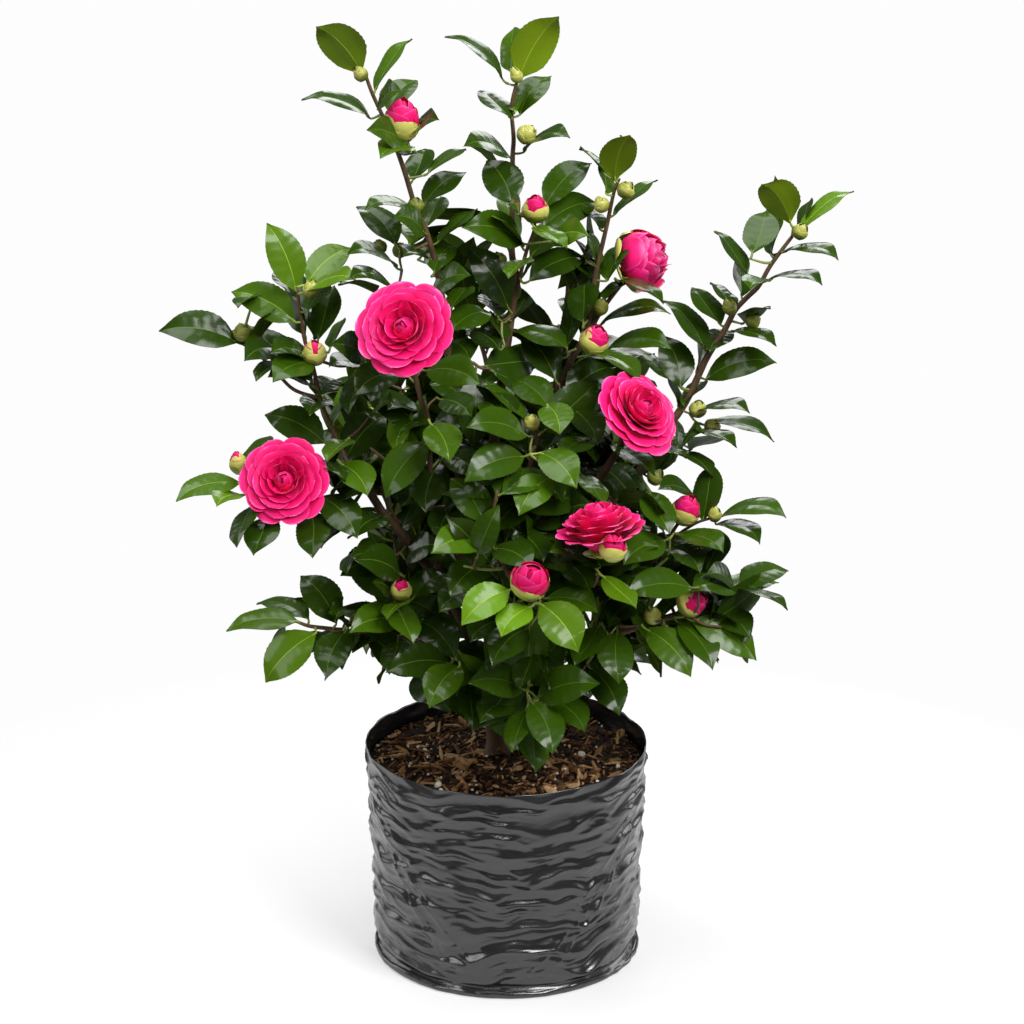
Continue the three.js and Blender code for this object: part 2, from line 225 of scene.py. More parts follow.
def leaf_material(name, colour, rough=0.34, coat=0.35, soft=0.0, spec=0.13):
    """A waxy leaf: plain colour, fine net of veins as bump, uneven gloss."""
    m, nodes, links, p = tree_of(name)
    p.inputs["Base Color"].default_value = (*colour, 1)
    p.inputs["IOR"].default_value = 1.48
    p.inputs["Specular IOR Level"].default_value = spec
    p.inputs["Coat Weight"].default_value = coat
    p.inputs["Coat Roughness"].default_value = 0.17
    if soft:
        p.inputs["Subsurface Weight"].default_value = soft
        p.inputs["Subsurface Radius"].default_value = (0.6, 1.0, 0.15)
        p.inputs["Subsurface Scale"].default_value = 0.0015
    v = coords(nodes, links, (1, 1, 1))
    vor = nodes.new("ShaderNodeTexVoronoi")
    vor.feature = "DISTANCE_TO_EDGE"
    vor.inputs["Scale"].default_value = 340
    links.new(v, vor.inputs["Vector"])
    n = noise_node(nodes, links, v, 60, 3)
    links.new(ranged(nodes, links, n, rough - 0.07, rough + 0.09), p.inputs["Roughness"])
    add = nodes.new("ShaderNodeMath")
    add.operation = "MULTIPLY_ADD"
    add.inputs[1].default_value = 0.5
    links.new(vor.outputs["Distance"], add.inputs[0])
    links.new(n, add.inputs[2])
    bump(nodes, links, p, add.outputs[0], 0.12, 0.0006)
    return m


def bark_material(name, dark, light, scale=1.0, rough=0.8):
    m, nodes, links, p = tree_of(name)
    v = coords(nodes, links, (1, 1, 0.22))
    a = noise_node(nodes, links, v, 210 * scale, 5, 0.65)
    b = noise_node(nodes, links, coords(nodes, links, (1, 1, 1)), 28 * scale, 3)
    mix = nodes.new("ShaderNodeMath")
    mix.operation = "MULTIPLY_ADD"
    mix.inputs[1].default_value = 0.55
    links.new(a, mix.inputs[0])
    half = nodes.new("ShaderNodeMath")
    half.operation = "MULTIPLY"
    half.inputs[1].default_value = 0.45
    links.new(b, half.inputs[0])
    links.new(half.outputs[0], mix.inputs[2])
    links.new(ramp(nodes, links, mix.outputs[0], [(0.34, dark), (0.62, light)]), p.inputs["Base Color"])
    links.new(ranged(nodes, links, a, rough - 0.1, rough + 0.12), p.inputs["Roughness"])
    bump(nodes, links, p, a, 0.5, 0.0012)
    return m


def petal_material(name):
    """Petals: deep at the heart of each petal, paler and slightly satin at its rim. The deep foot is partly the
    petal's own colour and partly painted shade where the next ring shades it; the pale thin rims are painted
    highlights.
    """
    m, nodes, links, p = tree_of(name)
    at = nodes.new("ShaderNodeAttribute")
    at.attribute_name = "rim"
    v = coords(nodes, links, (1, 1, 1))
    n = noise_node(nodes, links, v, 90, 3)
    mix = nodes.new("ShaderNodeMath")
    mix.operation = "MULTIPLY_ADD"
    mix.inputs[1].default_value = 0.16
    links.new(n, mix.inputs[0])
    links.new(at.outputs["Fac"], mix.inputs[2])
    colour = ramp(nodes, links, mix.outputs[0], [(0.0, (0.50, 0.0, 0.080)), (0.28, (0.80, 0.001, 0.130)), (0.62, (0.90, 0.012, 0.205)), (0.95, (0.94, 0.16, 0.42))])
    links.new(colour, p.inputs["Base Color"])
    p.inputs["Roughness"].default_value = 0.52
    p.inputs["Subsurface Weight"].default_value = 0.22
    p.inputs["Subsurface Radius"].default_value = (1.0, 0.12, 0.25)
    p.inputs["Subsurface Scale"].default_value = 0.003
    p.inputs["Sheen Weight"].default_value = 0.04
    p.inputs["Specular IOR Level"].default_value = 0.22
    fine = noise_node(nodes, links, coords(nodes, links, (1, 1, 1)), 500, 2)
    bump(nodes, links, p, fine, 0.14, 0.0004)
    return m


def bud_material(name, a, b, rough=0.42):
    m, nodes, links, p = tree_of(name)
    at = nodes.new("ShaderNodeAttribute")
    at.attribute_name = "rim"
    n = noise_node(nodes, links, coords(nodes, links, (1, 1, 1)), 160, 3)
    mix = nodes.new("ShaderNodeMath")
    mix.operation = "MULTIPLY_ADD"
    mix.inputs[1].default_value = 0.3
    links.new(n, mix.inputs[0])
    links.new(at.outputs["Fac"], mix.inputs[2])
    links.new(ramp(nodes, links, mix.outputs[0], [(0.1, a), (1.0, b)]), p.inputs["Base Color"])
    p.inputs["Roughness"].default_value = rough
    p.inputs["Subsurface Weight"].default_value = 0.12
    p.inputs["Subsurface Radius"].default_value = (0.8, 1.0, 0.3)
    p.inputs["Subsurface Scale"].default_value = 0.002
    bump(nodes, links, p, n, 0.2, 0.0005)
    return m


def film_material(name, base, lo, hi, strength=0.12):
    """Black polythene film: satin gloss with fine scuffs and a faint haze."""
    m, nodes, links, p = tree_of(name)
    v = coords(nodes, links, (1, 1, 1))
    haze = noise_node(nodes, links, coords(nodes, links, (1, 1, 3.2)), 16, 5, 0.6)
    links.new(ramp(nodes, links, haze, [(0.3, base), (0.75, tuple(min(1, 1.9 * c + 0.006) for c in base))]), p.inputs["Base Color"])
    links.new(ranged(nodes, links, haze, lo, hi), p.inputs["Roughness"])
    p.inputs["IOR"].default_value = 1.52
    p.inputs["Specular IOR Level"].default_value = 0.82
    fine = noise_node(nodes, links, coords(nodes, links, (1, 1, 2.4)), 120, 6, 0.62)
    bump(nodes, links, p, fine, strength, 0.0012)
    return m


def mix_material(name, dark, light, scale=150):
    m, nodes, links, p = tree_of(name)
    v = coords(nodes, links, (1, 1, 1))
    a = noise_node(nodes, links, v, scale, 6, 0.7)
    links.new(ramp(nodes, links, a, [(0.32, dark), (0.7, light)]), p.inputs["Base Color"])
    p.inputs["Roughness"].default_value = 0.92
    p.inputs["Specular IOR Level"].default_value = 0.15
    bump(nodes, links, p, a, 0.8, 0.002)
    return m


def chip_material(name, dark, light):
    m, nodes, links, p = tree_of(name)
    v = coords(nodes, links, (1, 1, 1))
    a = noise_node(nodes, links, v, 260, 5, 0.65)
    links.new(ramp(nodes, links, a, [(0.3, dark), (0.72, light)]), p.inputs["Base Color"])
    p.inputs["Roughness"].default_value = 0.85
    p.inputs["Specular IOR Level"].default_value = 0.2
    bump(nodes, links, p, a, 0.5, 0.001)
    return m


# leaf colours, dealt out by spray: mature, younger and fresh; for the leaves listed below the tone is also painted
# shade and light, darker tones for leaves in shade and brighter ones for lit leaves
LEAF_TONES = [
    ("leaf_deep", (0.015, 0.035, 0.002), 0.25),
    ("leaf_dark", (0.019, 0.046, 0.002), 0.25),
    ("leaf_green", (0.029, 0.070, 0.002), 0.26),
    ("leaf_mid", (0.049, 0.111, 0.003), 0.27),
    ("leaf_fresh", (0.078, 0.165, 0.004), 0.29),
    ("leaf_bright", (0.108, 0.232, 0.006), 0.31),
]
UNDER_TONES = [
    ("leaf_under_deep", (0.052, 0.095, 0.007)),
    ("leaf_under_mid", (0.105, 0.175, 0.007)),
    ("leaf_under_fresh", (0.155, 0.245, 0.006)),
]
RIB_TONES = [
    ("rib_dark", (0.085, 0.155, 0.012)),
    ("rib_mid", (0.17, 0.27, 0.022)),
    ("rib_fresh", (0.28, 0.41, 0.04)),
]
LEAF_MATS = [leaf_material(n, c, r, 0.27, 0.0) for n, c, r in LEAF_TONES]
LEAF_MATS += [leaf_material(n, c, 0.5, 0.03, 0.0, 0.14) for n, c in UNDER_TONES]
LEAF_MATS += [leaf_material(n, c, 0.42, 0.1) for n, c in RIB_TONES]
UNDER0, RIB0 = len(LEAF_TONES), len(LEAF_TONES) + len(UNDER_TONES)
TONE_SIDE = [0, 0, 0, 1, 2, 2]

# ------------------------------------------------------------------ leaves
U_AT = [0, 0.03, 0.08, 0.16, 0.27, 0.4, 0.52, 0.63, 0.74, 0.83, 0.90, 0.95, 0.98, 1.0]
W_AT = [0.03, 0.13, 0.34, 0.63, 0.88, 0.99, 1.0, 0.94, 0.79, 0.57, 0.33, 0.15, 0.075, 0.010]


def outline(u):
    return np.interp(u, U_AT, W_AT)


def blade(rows, cross_at, under=False, drop=0.0):
    """Flat blade as (u, v) with v from -1 to 1, rows swept forward like its veins."""
    u = np.linspace(0, 1, rows)
    v = np.array(cross_at)
    uu = u[:, None] + 0.085 * np.abs(v)[None, :] * (np.sin(np.pi * u) ** 0.8)[:, None]
    return np.clip(uu, 0, 1), np.broadcast_to(v, uu.shape).copy(), v


leaf_heaps = [Heap()]
stalks = Heap()
LEAF_LIMIT = 175000
count = {"leaves": 0}
taken = []          # leaf middles, so that a later leaf keeps clear
blooms = []         # (centre, radius) kept clear of leaves


def leaf_at(base, tip, normal, width, tone, bend=0.5, fold=0.30, twist=0.0, fine=True, stalk=None, curl=0.0, side_curl=0.0, sickle=0.0):
    """One leaf from the foot of its blade to its tip, upper face towards normal.
    bend is the angle its length turns through, fold how far its halves rise."""
    base, tip = np.asarray(base, float), np.asarray(tip, float)
    chord = tip - base
    length = np.linalg.norm(chord)
    c = chord / length
    n = square_to(normal, c)
    s = cross(n, c)
    rows = 29 if fine else 17
    m = 0.021 * 38 / max(width, 10)
    cross_at = [-1, -0.70, -0.36, -m, m, 0.36, 0.70, 1] if fine else [-1, -0.52, -m, m, 0.52, 1]
    uu, vv, v = blade(rows, cross_at)
    w = outline(uu) * width / 2
    if fine:
        tooth = np.where(np.arange(rows) % 2 == 0, 1.0, 0.962)[:, None]
        edge = (np.abs(vv) > 0.99) & (uu > 0.08)
        w = np.where(edge, w * tooth, w)
    y = vv * w
    # the blade runs along an arc whose ends are the foot and the tip
    k = bend if abs(bend) > 1e-3 else 1e-3
    radius = length / (2 * math.sin(k / 2))
    ang = -k / 2 + uu * k
    x = radius * (np.sin(ang) + math.sin(k / 2))
    z = radius * (np.cos(ang) - math.cos(k / 2))
    # towards the tip the point turns down a little more
    z -= 0.05 * length * sm(uu, 0.75, 1.0) * (1 if bend >= 0 else -1)
    ay = np.abs(y)
    z = z + fold * ay - (0.010 + 0.004 * curl) * ay * ay
    vein = np.cos(np.arange(rows) * math.pi / 2)[:, None] if fine else np.zeros((rows, 1))
    z = z + 0.17 * vein * (np.abs(vv) > 0.2) * (np.abs(vv) < 0.9) * (w / (width / 2))
    z = z - 0.35 * (np.abs(vv) < 0.2)
    wave = 0.9 * np.sin(uu * (9 + 3 * twist) + 2.1 * twist + vv) * np.abs(vv) ** 2
    z = z + wave + side_curl * vv * ay * 0.08
    tw = twist * (uu - 0.4)
    y2 = y * np.cos(tw) + sickle * length * 4 * uu * (1 - uu)
    z2 = z + y * np.sin(tw)
    P = base + x[..., None] * c + y2[..., None] * s + z2[..., None] * n
    rib = RIB0 + TONE_SIDE[tone]
    cols = len(v)
    q = grid(rows, cols)
    mid = cols // 2 - 1
    qm = np.full((rows - 1, cols - 1), tone)
    qm[:, mid] = rib
    if leaf_heaps[-1].faces() > LEAF_LIMIT:
        leaf_heaps.append(Heap())
    heap = leaf_heaps[-1]
    heap.add(P.reshape(-1, 3), quads=q, qm=qm.ravel())
    # the underside, a shade inside the rim
    keep = np.arange(0, rows, 2) if rows % 2 else np.arange(0, rows - 1, 2)
    Q = base + x[keep][..., None] * c + (y2[keep] * 0.975)[..., None] * s + (z2[keep] - 0.32 + 0.12 * (vein[keep] * 0))[..., None] * n
    Q = Q.copy()
    Q[:, mid] -= 0.5 * n
    Q[:, mid + 1] -= 0.5 * n
    q2 = grid(len(keep), cols)[:, ::-1]
    um = np.full((len(keep) - 1, cols - 1), UNDER0 + TONE_SIDE[tone])
    um[:, mid] = min(RIB0 + TONE_SIDE[tone] + 1, RIB0 + 2)
    heap.add(Q.reshape(-1, 3), quads=q2, qm=um.ravel())
    count["leaves"] += 1
    taken.append((base + tip) / 2)
    if stalk is not None:
        stalk = np.asarray(stalk, float)
        mid_pt = (stalk + base) / 2 - 0.8 * n
        end = P[2, cols // 2] - 0.6 * n
        tube(stalks, path([stalk, mid_pt, base - 0.3 * n, end], 2.2), [1.5, 1.15, 0.9], 5, 1 if tone >= 3 else 0)


def tube(heap, pts, radii, sides=8, mat=0, rough=0.0, seed=0.0, close=True, attr=None):
    """A round stem along pts. radii run from its start to its end."""
    pts = np.asarray(pts, float)
    n = len(pts)
    r = np.interp(np.linspace(0, 1, n), np.linspace(0, 1, len(radii)), radii)
    t = np.gradient(pts, axis=0)
    t /= np.maximum(np.linalg.norm(t, axis=1), 1e-9)[:, None]
    a = square_to(np.array([0.31, 0.95, 0.05]), t[0])
    ang = np.linspace(0, 2 * math.pi, sides, endpoint=False)
    V = np.empty((n, sides, 3))
    for i in range(n):
        a = square_to(a, t[i])
        b = cross(t[i], a)
        ri = np.full(sides, r[i])
        if rough:
            for j in range(sides):
                ca, sa = math.cos(ang[j]), math.sin(ang[j])
                ri[j] *= 1 + rough * (wob(ca * 1.6 + seed, sa * 1.6, i * 0.35) + 0.5 * wob(ca * 4 + seed, sa * 4, i * 0.9))
        V[i] = pts[i] + (np.cos(ang) * ri)[:, None] * a + (np.sin(ang) * ri)[:, None] * b
    i = (np.arange(n - 1)[:, None] * sides + np.arange(sides)[None, :])
    j = (np.arange(n - 1)[:, None] * sides + (np.arange(sides)[None, :] + 1) % sides)
    q = np.stack([i, j, j + sides, i + sides], -1).reshape(-1, 4)
    verts = V.reshape(-1, 3)
    tris = None
    if close:
        verts = np.vstack([verts, pts[0], pts[-1] + t[-1] * r[-1] * 0.6])
        c0, c1 = len(verts) - 2, len(verts) - 1
        k = np.arange(sides)
        tris = np.vstack([np.stack([np.full(sides, c0), (k + 1) % sides, k], 1),
                          np.stack([np.full(sides, c1), (n - 1) * sides + k, (n - 1) * sides + (k + 1) % sides], 1)])
    heap.add(verts, quads=q, tris=tris, qm=mat, tm=mat, attr=attr)


# ------------------------------------------------------------------ buds and blooms
bud_heap, bloom_heap = Heap(), Heap()
GREEN_SCALE, OLIVE_SCALE, PINK = 0, 1, 2


def frame_for(d):
    d = unit(d)
    a = square_to(np.array([0.2, 0.9, 0.4]), d)
    return d, a, cross(d, a)


def bud(base, direction, length, width, pink=0.0, olive=False, seed=0):
    """A bud of overlapping scales on a short foot, its petals showing if it is opening."""
    base = np.asarray(base, float)
    d, a, b = frame_for(direction)
    r = np.random.default_rng(900 + seed)
    phase = r.uniform(0, 6.28)
    toward = np.array([0.55, -0.75, 0.3])
    open_side = math.atan2(float(np.dot(toward, b)), float(np.dot(toward, a)))

    def put(rad, ang, h):
        return base + h[..., None] * d + (rad * np.cos(ang))[..., None] * a + (rad * np.sin(ang))[..., None] * b

    def profile(t):
        t = np.clip(t, 0, 1)
        return width / 2 * (np.sin(math.pi * np.clip(0.07 + 0.93 * t, 0, 1) ** 0.78) ** 0.68) * (1 - 0.16 * t ** 3)

    heap = bud_heap
    rows, cols = 12, 16
    t = np.linspace(0.02, 0.99, rows)[:, None] * np.ones((1, cols))
    ang = np.linspace(0, 2 * math.pi, cols)[None, :] * np.ones((rows, 1))
    core = PINK if pink > 0 else (OLIVE_SCALE if olive else GREEN_SCALE)
    # a pink core takes the darkest petal value, painted shade where it shows between the petals
    heap.add(put(profile(t) * 0.84, ang, t * length * 0.93).reshape(-1, 3), quads=grid(rows, cols), qm=core, attr=np.full(rows * cols, 0.02 if pink > 0 else 0.3))
    foot_r = np.array([0.0, 0.55, 1.0, 1.0])[:, None] * (profile(np.array(0.02)) * 1.06 + 0.6) * np.ones((1, 16))
    foot_h = np.array([-0.8, -0.5, 0.1, 1.6])[:, None] * np.ones((1, 16))
    heap.add(put(foot_r, np.linspace(0, 2 * math.pi, 16)[None, :] * np.ones((4, 1)), foot_h).reshape(-1, 3), quads=grid(4, 16), qm=OLIVE_SCALE, attr=np.full(64, 0.2))
    if pink > 0:
        wound(heap, base, d, a, b, width * 0.97, length * 1.0, 11 if pink > 0.25 else 6, max(0.2, 0.62 - pink), phase, 0.46 if pink > 0.6 else 0.30, PINK)
    # scales, shortest outside
    n = 10
    for i in range(n):
        f = i / (n - 1)
        rows, cols = 10, 11
        q = np.linspace(0, 1, rows)[:, None] * np.ones((1, cols))
        s = 1 - (1 - q) ** 1.5
        v = np.linspace(-1, 1, cols)[None, :] * np.ones((rows, 1))
        centre = phase + 1.1 + i * GOLDEN
        reach = (0.97 - 0.60 * f) * (1 - 0.42 * pink)
        if pink > 0:
            reach *= 1 - 0.75 * pink * max(0.0, math.cos(centre - open_side))
        reach = max(reach * r.uniform(0.82, 1.10), 0.16)
        tt = 0.01 + reach * s
        body = np.where(s < 0.5, 0.75 + 0.25 * np.sin(math.pi * s), np.sqrt(np.clip(1 - ((s - 0.5) / 0.5) ** 2.6, 0, 1)))
        an = centre + v * (1.02 if pink > 0 else 1.14) * body * (1 if i < 6 else 0.8)
        rr = profile(tt) * (1.0 + 0.03 * f) + 0.25 + 0.35 * f + 0.22 * s ** 3 + 0.2 * (1 - np.abs(v)) * s
        tone = OLIVE_SCALE if olive or (i > 6 and r.uniform() < 0.5) else GREEN_SCALE
        heap.add(put(rr, an, tt * length).reshape(-1, 3), quads=grid(rows, cols), qm=tone,
                 attr=np.clip(0.06 + (0.34 if pink > 0 else 0.0) + 0.62 * s ** 1.6 + 0.12 * v * v, 0, 1).ravel())


def petal(heap, centre, d, a, b, foot, ctrl, tip, half, base_ang, cupped, phase, shade, mat=0, ruffle=0.6, rows=13, cols=11, lap=0.0):
    """One round-ended petal bent along a curve from its foot to its tip in the plane of the axis."""
    q = np.linspace(0, 1, rows)[:, None] * np.ones((1, cols))
    s = 1 - (1 - q) ** 1.7
    v = np.linspace(-1, 1, cols)[None, :] * np.ones((rows, 1))
    rad = (1 - s) ** 2 * foot[0] + 2 * s * (1 - s) * ctrl[0] + s ** 2 * tip[0]
    z = (1 - s) ** 2 * foot[1] + 2 * s * (1 - s) * ctrl[1] + s ** 2 * tip[1]
    body = np.where(s < 0.56, 0.42 + 0.58 * np.sin(math.pi / 2 * np.clip(s / 0.56, 0, 1)), np.clip(1 - (np.clip(s - 0.56, 0, 1) / 0.44) ** 2.5, 0, 1) ** 0.5)
    lateral = v * half * body
    wrap = np.maximum(rad, 0.42 * half + 1.0)
    ang = base_ang + lateral / wrap * 0.94
    edge = s ** 2 * np.abs(v) ** 2
    z = z + lap * half * v * s + cupped * half * (v * body) ** 2 + ruffle * edge * np.sin(5 * v + phase) + 0.35 * ruffle * s * np.sin(7 * s + 3 * v + phase)
    rr = rad + 0.3 * ruffle * s * np.sin(4 * v + phase)
    P = centre + z[..., None] * d + (rr * np.cos(ang))[..., None] * a + (rr * np.sin(ang))[..., None] * b
    # colour value along the petal: low at the foot is partly painted shade where the inner ring shades it, and the
    # thin pale rims at the tip and sides are painted highlights; the rest is the petal's own tint
    rim = np.clip(shade + 0.50 * s ** 4 + 0.30 * np.maximum(s ** 11, np.abs(v) ** 8 * (s > 0.3)), 0, 1)
    heap.add(P.reshape(-1, 3), quads=grid(rows, cols), qm=mat, attr=rim.ravel())


def cup_scales(centre, d, a, b, R, depth):
    for i in range(7):
        rows, cols = 7, 9
        s = np.linspace(0, 1, rows)[:, None] * np.ones((1, cols))
        v = np.linspace(-1, 1, cols)[None, :] * np.ones((rows, 1))
        rad = R * (0.06 + (0.22 + 0.03 * i) * s * (1 - 0.12 * v * v))
        z = -depth * R - 1.5 + R * 0.16 * s ** 1.6 - 0.35 * i
        ang = i * GOLDEN + v * (1.0 - 0.3 * s)
        P = centre + (z + 0 * v)[..., None] * d + (rad * np.cos(ang))[..., None] * a + (rad * np.sin(ang))[..., None] * b
        bud_heap.add(P.reshape(-1, 3), quads=grid(rows, cols), qm=GREEN_SCALE, attr=(0.2 + 0.7 * s).ravel())


def wound(heap, base, d, a, b, width, length, n, low, phase, fall=0.40, mat=0):
    """Petals wound one over another about an axis, each a little lower than the last."""
    for i in range(n):
        f = i / max(1, n - 1)
        rows, cols = 10, 13
        s = 1 - (1 - np.linspace(0, 1, rows)[:, None] * np.ones((1, cols))) ** 1.6
        v = np.linspace(-1, 1, cols)[None, :] * np.ones((rows, 1))
        top = 1.0 - fall * f
        tt = low + (top - low) * s * (1 - 0.15 * v * v)
        body = width / 2 * (np.sin(math.pi * np.clip(0.07 + 0.93 * tt, 0, 1) ** 0.80) ** 0.70)
        rr = np.maximum(body * (0.88 + 0.14 * f), width * 0.5 * (0.12 + 0.08 * f)) + width * 0.035 * s ** 5 * (0.4 + f)
        an = phase + i * GOLDEN + v * (1.30 - 0.35 * s)
        P = base + (tt * length)[..., None] * d + (rr * np.cos(an))[..., None] * a + (rr * np.sin(an))[..., None] * b
        # colour value of the wound petals: deep at the foot as painted shade, pale thin rims as painted highlights
        tint_and_painted_light = 0.06 + 0.40 * s ** 4 + 0.28 * np.maximum(s ** 10, np.abs(v) ** 8 * (s > 0.3))
        heap.add(P.reshape(-1, 3), quads=grid(rows, cols), qm=mat, attr=np.clip(tint_and_painted_light, 0, 1).ravel())


def bloom(centre, facing, diameter, rise=0.24, seed=0, spin=0.0, depth=0.30, droop=0.0, wide=1.0, rings=((0.34, 5), (0.50, 5), (0.67, 6), (0.84, 8), (1.0, 10))):
    """A formal double bloom: rings of broad round petals lapped from a closed heart outwards.
    rise is the heart's height over the rim, droop turns the outer rows down."""
    centre = np.asarray(centre, float)
    d, a, b = frame_for(facing)
    r = np.random.default_rng(seed)
    R = diameter / 2
    foot0 = centre - d * R * 0.22
    wound(bloom_heap, foot0, d, a, b, R * 0.46, R * (rise + 0.26), 9, 0.25, spin, 0.36)
    # the heart's core takes the darkest petal value, painted shade in the hollow of the heart
    rows, cols = 10, 14
    t = np.linspace(0.05, 0.985, rows)[:, None] * np.ones((1, cols))
    ang = np.linspace(0, 2 * math.pi, cols)[None, :] * np.ones((rows, 1))
    rr = R * 0.20 * (np.sin(math.pi * (0.07 + 0.93 * t) ** 0.80) ** 0.70)
    P = foot0 + (t * R * (rise + 0.21))[..., None] * d + (rr * np.cos(ang))[..., None] * a + (rr * np.sin(ang))[..., None] * b
    bloom_heap.add(P.reshape(-1, 3), quads=grid(rows, cols), qm=0, attr=np.full(rows * cols, 0.0))
    for k, (f, m) in enumerate(rings):
        for j in range(m):
            fall = f * (1 + 0.022 * r.standard_normal())
            tip_r = R * fall
            inner = 1 - float(sm(fall, 0.30, 0.78))
            tip_z = R * (rise * (1 - fall ** 1.6) - 0.05 * fall ** 4 - droop * fall ** 2) + 0.6 * r.standard_normal() + 0.9 * (j % 2)
            foot = (0.8 + 1.6 * fall, -depth * R * (0.45 + 0.55 * fall))
            ctrl = (tip_r * (0.80 + 0.34 * inner), tip_z + R * (0.06 * (1 - inner) - 0.16 * inner))
            half = 1.28 * math.pi * tip_r / m * (1 + 0.06 * r.standard_normal()) * wide
            shade = 0.02 + 0.10 * fall + 0.05 * r.standard_normal()
            petal(bloom_heap, centre, d, a, b, foot, ctrl, (tip_r, tip_z), half, k * GOLDEN + spin + 2 * math.pi * j / m + 0.07 * r.standard_normal(),
                  0.24 * inner + 0.03, r.uniform(0, 6.28), shade, ruffle=0.45 + 0.45 * (1 - inner), lap=0.05)
    cup_scales(centre, d, a, b, R, depth)


def goblet(base, facing, length, width, n=30, seed=0):
    """A bloom half open: petals standing round one another, ragged at the mouth."""
    base = np.asarray(base, float)
    d, a, b = frame_for(facing)
    r = np.random.default_rng(seed)
    W = width / 2
    for i in range(n):
        t = (i + 0.5) / n
        tip_r = W * (0.10 + 0.82 * t ** 0.8) * (1 + 0.08 * r.standard_normal())
        tip_z = length * (0.98 - 0.30 * t ** 1.5) * (1 + 0.05 * r.standard_normal())
        foot = (1.0 + 2 * t, 0.0 + 1.5 * (1 - t))
        ctrl = (W * (0.25 + 1.28 * t ** 0.7), length * (0.34 - 0.12 * t))
        half = W * (0.34 + 0.40 * t)
        petal(bloom_heap, base, d, a, b, foot, ctrl, (tip_r, tip_z), half, i * GOLDEN + 0.2 * r.standard_normal(), 0.10 * r.standard_normal(), r.uniform(0, 6.28), 0.05 + 0.12 * t, ruffle=1.5)
    for i in range(7):
        t = 0.9 + 0.015 * i
        petal(bud_heap, base, d, a, b, (2.5, -1.0 - 0.3 * i), (W * 1.30, length * (0.06 + 0.01 * i)), (W * (0.99 + 0.01 * i), length * (0.42 - 0.04 * i)), W * 0.48, i * GOLDEN + 1.0, 0.0, 0.0, 0.25, mat=GREEN_SCALE, ruffle=0.3)


# ------------------------------------------------------------------ the limbs, as in the CAD part
TRUNK = ((-10, 0, 208.4), (-14, 2, 330), (-1.5, -2, 0))
BOUGHS = {
    "bough_leader": ((-14, 2, 336), (-2, 4, 610), (-8, 2, 0), (6.6, 4.6)),
    "bough_left": ((-12, 0, 268), (-118, -60, 478), (12, 4, 2), (6.2, 4.4)),
    "bough_upper_left": ((-13, 1, 312), (-56, -22, 640), (-8, 2, 0), (5.4, 3.6)),
    "bough_right": ((-11, 0, 284), (142, -2, 532), (8, 0, -14), (6.2, 4.4)),
    "bough_right_centre": ((-13, 2, 320), (62, 0, 614), (-6, 0, 2), (5.0, 3.6)),
    "bough_bloom_right": ((-12, -1, 300), (108, -62, 545), (-4, 8, -4), (4.8, 3.6)),
    "bough_low_left": ((-11, 0, 254), (-122, -57, 358), (8, 0, 12), (4.4, 3.2)),
    "bough_low_right": ((-11, 0, 250), (128, -58, 362), (-4, 6, 8), (4.6, 3.2)),
    "bough_front": ((-12, 0, 292), (-2, -92, 452), (0, 10, 6), (4.6, 3.4)),
    "bough_front_low": ((-10, 0, 238), (4, -62, 292), (0, 0, 4), (3.8, 2.8)),
    "bough_side_left": ((-11, 1, 244), (-78, 14, 318), (0, 0, 6), (4.0, 3.0)),
    "bough_side_right": ((-11, 1, 258), (70, 10, 318), (0, 0, 8), (4.0, 3.0)),
    "bough_back_left": ((-13, 1, 304), (-104, 84, 480), (14, -8, 6), (5.2, 3.8)),
    "bough_back_right": ((-12, 1, 290), (90, 84, 474), (-8, -8, 6), (5.2, 3.8)),
    "bough_back": ((-13, 2, 322), (-6, 150, 476), (0, -18, 16), (4.8, 3.6)),
    "bough_back_low_left": ((-11, 1, 262), (-62, 84, 334), (2, 0, 6), (4.0, 3.0)),
    "bough_back_low_right": ((-11, 1, 270), (58, 84, 338), (-2, 0, 8), (4.0, 3.0)),
}

# Shoots that carry on from the boughs: where each starts, the points it passes,
# its radius at both ends, and where along it the leaves begin.
SHOOTS = {
    "top_left": ("bough_upper_left", [(-63, -15, 692), (-74, -20, 740), (-86, -22, 771), (-96, -25, 806), (-108, -28, 841), (-124, -30, 878), (-130, -30, 895)], (3.6, 1.7)),
    "top_centre": ("bough_leader", [(4, 12, 650), (9, 15, 691), (5, 18, 719), (6, 25, 770), (6, 25, 809), (7, 25, 826), (5, 25, 856), (10, 25, 880)], (4.4, 1.6)),
    "right_centre": ("bough_right_centre", [(76, 0, 640), (80, 0, 664), (87, 0, 708), (95, 0, 744), (102, 0, 779), (107, 0, 792)], (3.5, 1.6)),
    "right_tall": ("bough_right", [(165, 0, 559), (178, 0, 582), (190, 0, 610), (197, 0, 624), (208, 0, 641), (219, 0, 663), (230, 0, 676), (241, 0, 687), (250, 0, 704), (257, 0, 715), (272, 0, 736)], (4.3, 1.8)),
    "left_arm": ("bough_left", [(-133, -60, 503), (-149, -60, 522)], (4.4, 3.8)),
    "low_left": ("bough_low_left", [(-146, -65, 358), (-167, -70, 364), (-190, -75, 369), (-203, -80, 376)], (3.1, 1.6)),
    "low_right": ("bough_low_right", [(151, -70, 375), (186, -80, 391), (218, -85, 407), (231, -86, 415)], (3.1, 1.6)),
    "bloom_right": ("bough_bloom_right", [(112, -88, 572), (117, -98, 580)], (3.5, 2.6)),
    "front": ("bough_front", [(0, -130, 446), (12, -168, 440), (22, -186, 444)], (3.3, 2.0)),
    "front_low": ("bough_front_low", [(14, -84, 306), (24, -100, 318)], (2.7, 1.5)),
}

